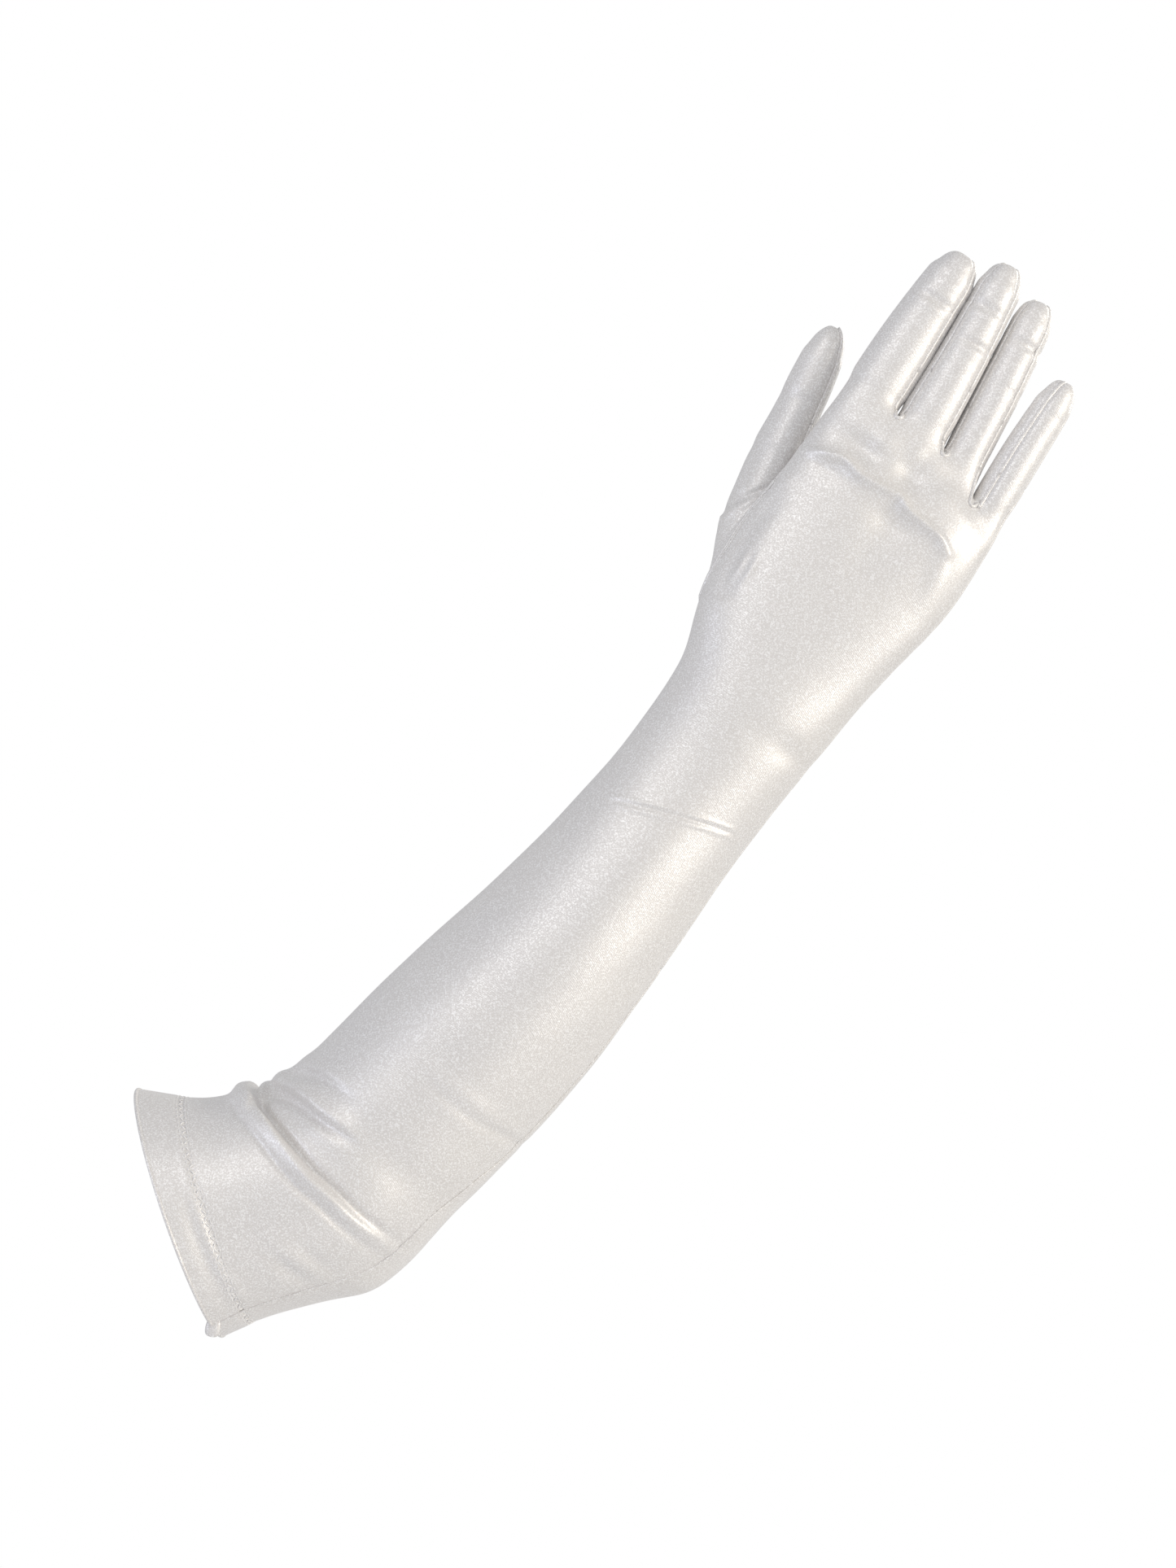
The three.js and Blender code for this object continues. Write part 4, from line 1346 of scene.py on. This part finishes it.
# width, how far out, thickness
TAIL = [(5.0, -3.4, 1.8), (5.6, -1.6, 2.4), (6.0, 0.6, 2.4), (5.6, 3.0, 2.0), (3.8, 4.4, 1.1)]
outward = np.array([-math.sin(math.radians(12)), 0, -math.cos(math.radians(12))])
wide_way = np.cross(outward, [0, 1.0, 0])
bpy.ops.object.mode_set(mode="EDIT")
bpy.ops.mesh.select_mode(type="FACE")
bm = bmesh.from_edit_mesh(tail.data)
for face in bm.faces:
    face.select_set(face.normal.z < -0.9)
bm.select_flush(True)
bmesh.update_edit_mesh(tail.data)


def tail_ring(width, along, thick, first=False):
    bm = bmesh.from_edit_mesh(tail.data)
    for v in bm.verts:
        if v.select or first:
            sx, sy = (1 if v.co.x > 0 else -1), (1 if v.co.y > 0 else -1)
            if not first:
                side_x = np.dot(np.array(v.co) / MM - corner_place, wide_way)
                sx, sy = (1 if side_x > 0 else -1), (1 if v.co.y / MM > corner_place[1] else -1)
            p = corner_place + wide_way * sx * width / 2 + outward * along + np.array([0, sy * thick / 2, 0])
            v.co = Vector(p * MM)
    bmesh.update_edit_mesh(tail.data)


tail_ring(*TAIL[0], first=True)
bm = bmesh.from_edit_mesh(tail.data)
for v in bm.verts:
    if v.select:
        v.co += Vector(outward * (TAIL[1][1] - TAIL[0][1]) * MM)
bmesh.update_edit_mesh(tail.data)
for width, along, thick in TAIL[2:]:
    extrude()
    tail_ring(width, along, thick)
bpy.ops.mesh.select_all(action="SELECT")
bpy.ops.mesh.normals_make_consistent(inside=False)
bpy.ops.object.mode_set(mode="OBJECT")
soften = tail.modifiers.new("soften", "SUBSURF")
soften.levels = soften.render_levels = 2
bpy.ops.object.modifier_apply(modifier="soften")
bpy.ops.object.shade_smooth()
tail.data.materials.append(satin)
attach(tail, "upper_sleeve")
print("seam tail")

# %% [markdown]
# ## Stitches
# A stitch is a short piece of thread that dips into the cloth at both ends. It is modelled once, as a small
# rounded bar with pointed ends, and copied along each seam, and all the stitches of one seam are joined in
# one piece.

# %% One stitch
deselect()
bpy.ops.mesh.primitive_cylinder_add(vertices=6, radius=0.0002, depth=0.0012, end_fill_type="TRIFAN")
one_stitch = bpy.context.object
bpy.ops.object.mode_set(mode="EDIT")
bm = bmesh.from_edit_mesh(one_stitch.data)
for v in bm.verts:
    v.co = Vector((v.co.z, v.co.x, v.co.y))
bmesh.update_edit_mesh(one_stitch.data)
bpy.ops.mesh.select_all(action="SELECT")
bpy.ops.mesh.bisect(plane_co=(0, 0, 0), plane_no=(1, 0, 0))
bpy.ops.mesh.select_all(action="SELECT")
bpy.ops.mesh.normals_make_consistent(inside=False)
bpy.ops.object.mode_set(mode="OBJECT")
stitch_shape = read(one_stitch.data)
stitch_ends = np.abs(stitch_shape[:, 0]) > 0.0005
stitch_shape[stitch_ends, 1:] *= 0.45
stitch_shape[stitch_ends, 2] -= 0.00022
write(one_stitch.data, stitch_shape)
print("one stitch:", len(one_stitch.data.polygons), "faces")


def sew_stitches(name, spots, length=1.0, thick=1.0):
    """spots is a list of place, direction and normal, in millimetres."""
    copies = []
    for place, along, normal in spots:
        along = along / np.linalg.norm(along)
        sideways = np.cross(normal, along)
        sideways /= np.linalg.norm(sideways)
        up = np.cross(along, sideways)
        turn = np.stack([along * length, sideways * thick, up * thick])
        copy = bpy.data.objects.new(name, one_stitch.data.copy())
        bpy.context.collection.objects.link(copy)
        write(copy.data, stitch_shape @ turn + place * MM)
        copies.append(copy)
    deselect()
    for copy in copies:
        copy.select_set(True)
    bpy.context.view_layer.objects.active = copies[0]
    bpy.ops.object.join()
    row = bpy.context.object
    row.name = name
    bpy.ops.object.shade_smooth()
    row.data.materials.append(thread)
    return row


def along_path(path, pitch, lift, shift=0.0):
    places, up, ahead = laid_on_skin(path, pitch)
    sideways = np.cross(ahead, up)
    return [(p + n * lift + s * shift, a, n) for p, n, a, s in zip(places, up, ahead, sideways)]


# %% The hem's cover stitch, a zigzag between two rows
zigzag = []
ANGLES = np.linspace(0, 360, 109)
for k, (a, b) in enumerate(zip(ANGLES[:-1], ANGLES[1:])):
    p, n = on_skin(arm.point(np.array(BAND - 0.9 if k % 2 else BAND + 0.9), float(a)))
    q, _ = on_skin(arm.point(np.array(BAND + 0.9 if k % 2 else BAND - 0.9), float(b)))
    zigzag.append(((p + q) / 2 + n * 0.16, q - p, n))
hem_stitches = sew_stitches("hem_cover_stitch", zigzag, 1.9, 1.4)
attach(hem_stitches, "upper_sleeve")
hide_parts("hem_stitching")
rows = []
for edge in (BAND - 1.3, BAND + 1.3):
    for a in np.linspace(0, 360, 97)[:-1]:
        p, n = on_skin(arm.point(np.array(edge), float(a)))
        q, _ = on_skin(arm.point(np.array(edge), float(a) + 1))
        rows.append((p + n * 0.16, q - p, n))
needle_rows = sew_stitches("hem_needle_rows", rows, 1.5, 0.9)
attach(needle_rows, "upper_sleeve")
print("hem:", len(zigzag) + len(rows), "stitches")

# %% Stitches beside the seams
cut = limbs["little"].length * JOINT_SHARE - JOINT_REACH
spots = along_path(finger_seam("little", 238, 6, cut), 1.9, 0.12, 0.95)
row = sew_stitches("little_seam_stitches", spots, 1.0, 0.8)
bend_with(row, "little")
spots = along_path(finger_seam("little", 238, cut + 1, 54), 1.9, 0.12, 0.95)
row = sew_stitches("little_tip_seam_stitches", spots, 1.0, 0.8)
bend_with(row, "little_tip")
row = sew_stitches("thumb_seam_stitches", along_path(low_path, 2.0, 0.16, 0.95), 1.0, 0.8)
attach(row, "hand")
seam = [side_seam_point(d) for d in np.linspace(3, 189, 40)]
row = sew_stitches("side_seam_stitches_sleeve", along_path(seam, 2.6, 0.12, 1.0), 1.1, 0.75)
bend_with(row, "sleeve")
seam = [side_seam_point(d) for d in np.linspace(191, 388, 36)]
row = sew_stitches("side_seam_stitches_hand", along_path(seam, 2.6, 0.12, 1.0), 1.1, 0.75)
bend_with(row, "hand")
bpy.data.objects.remove(one_stitch)
bpy.data.objects.remove(skin)
print("stitch rows done")
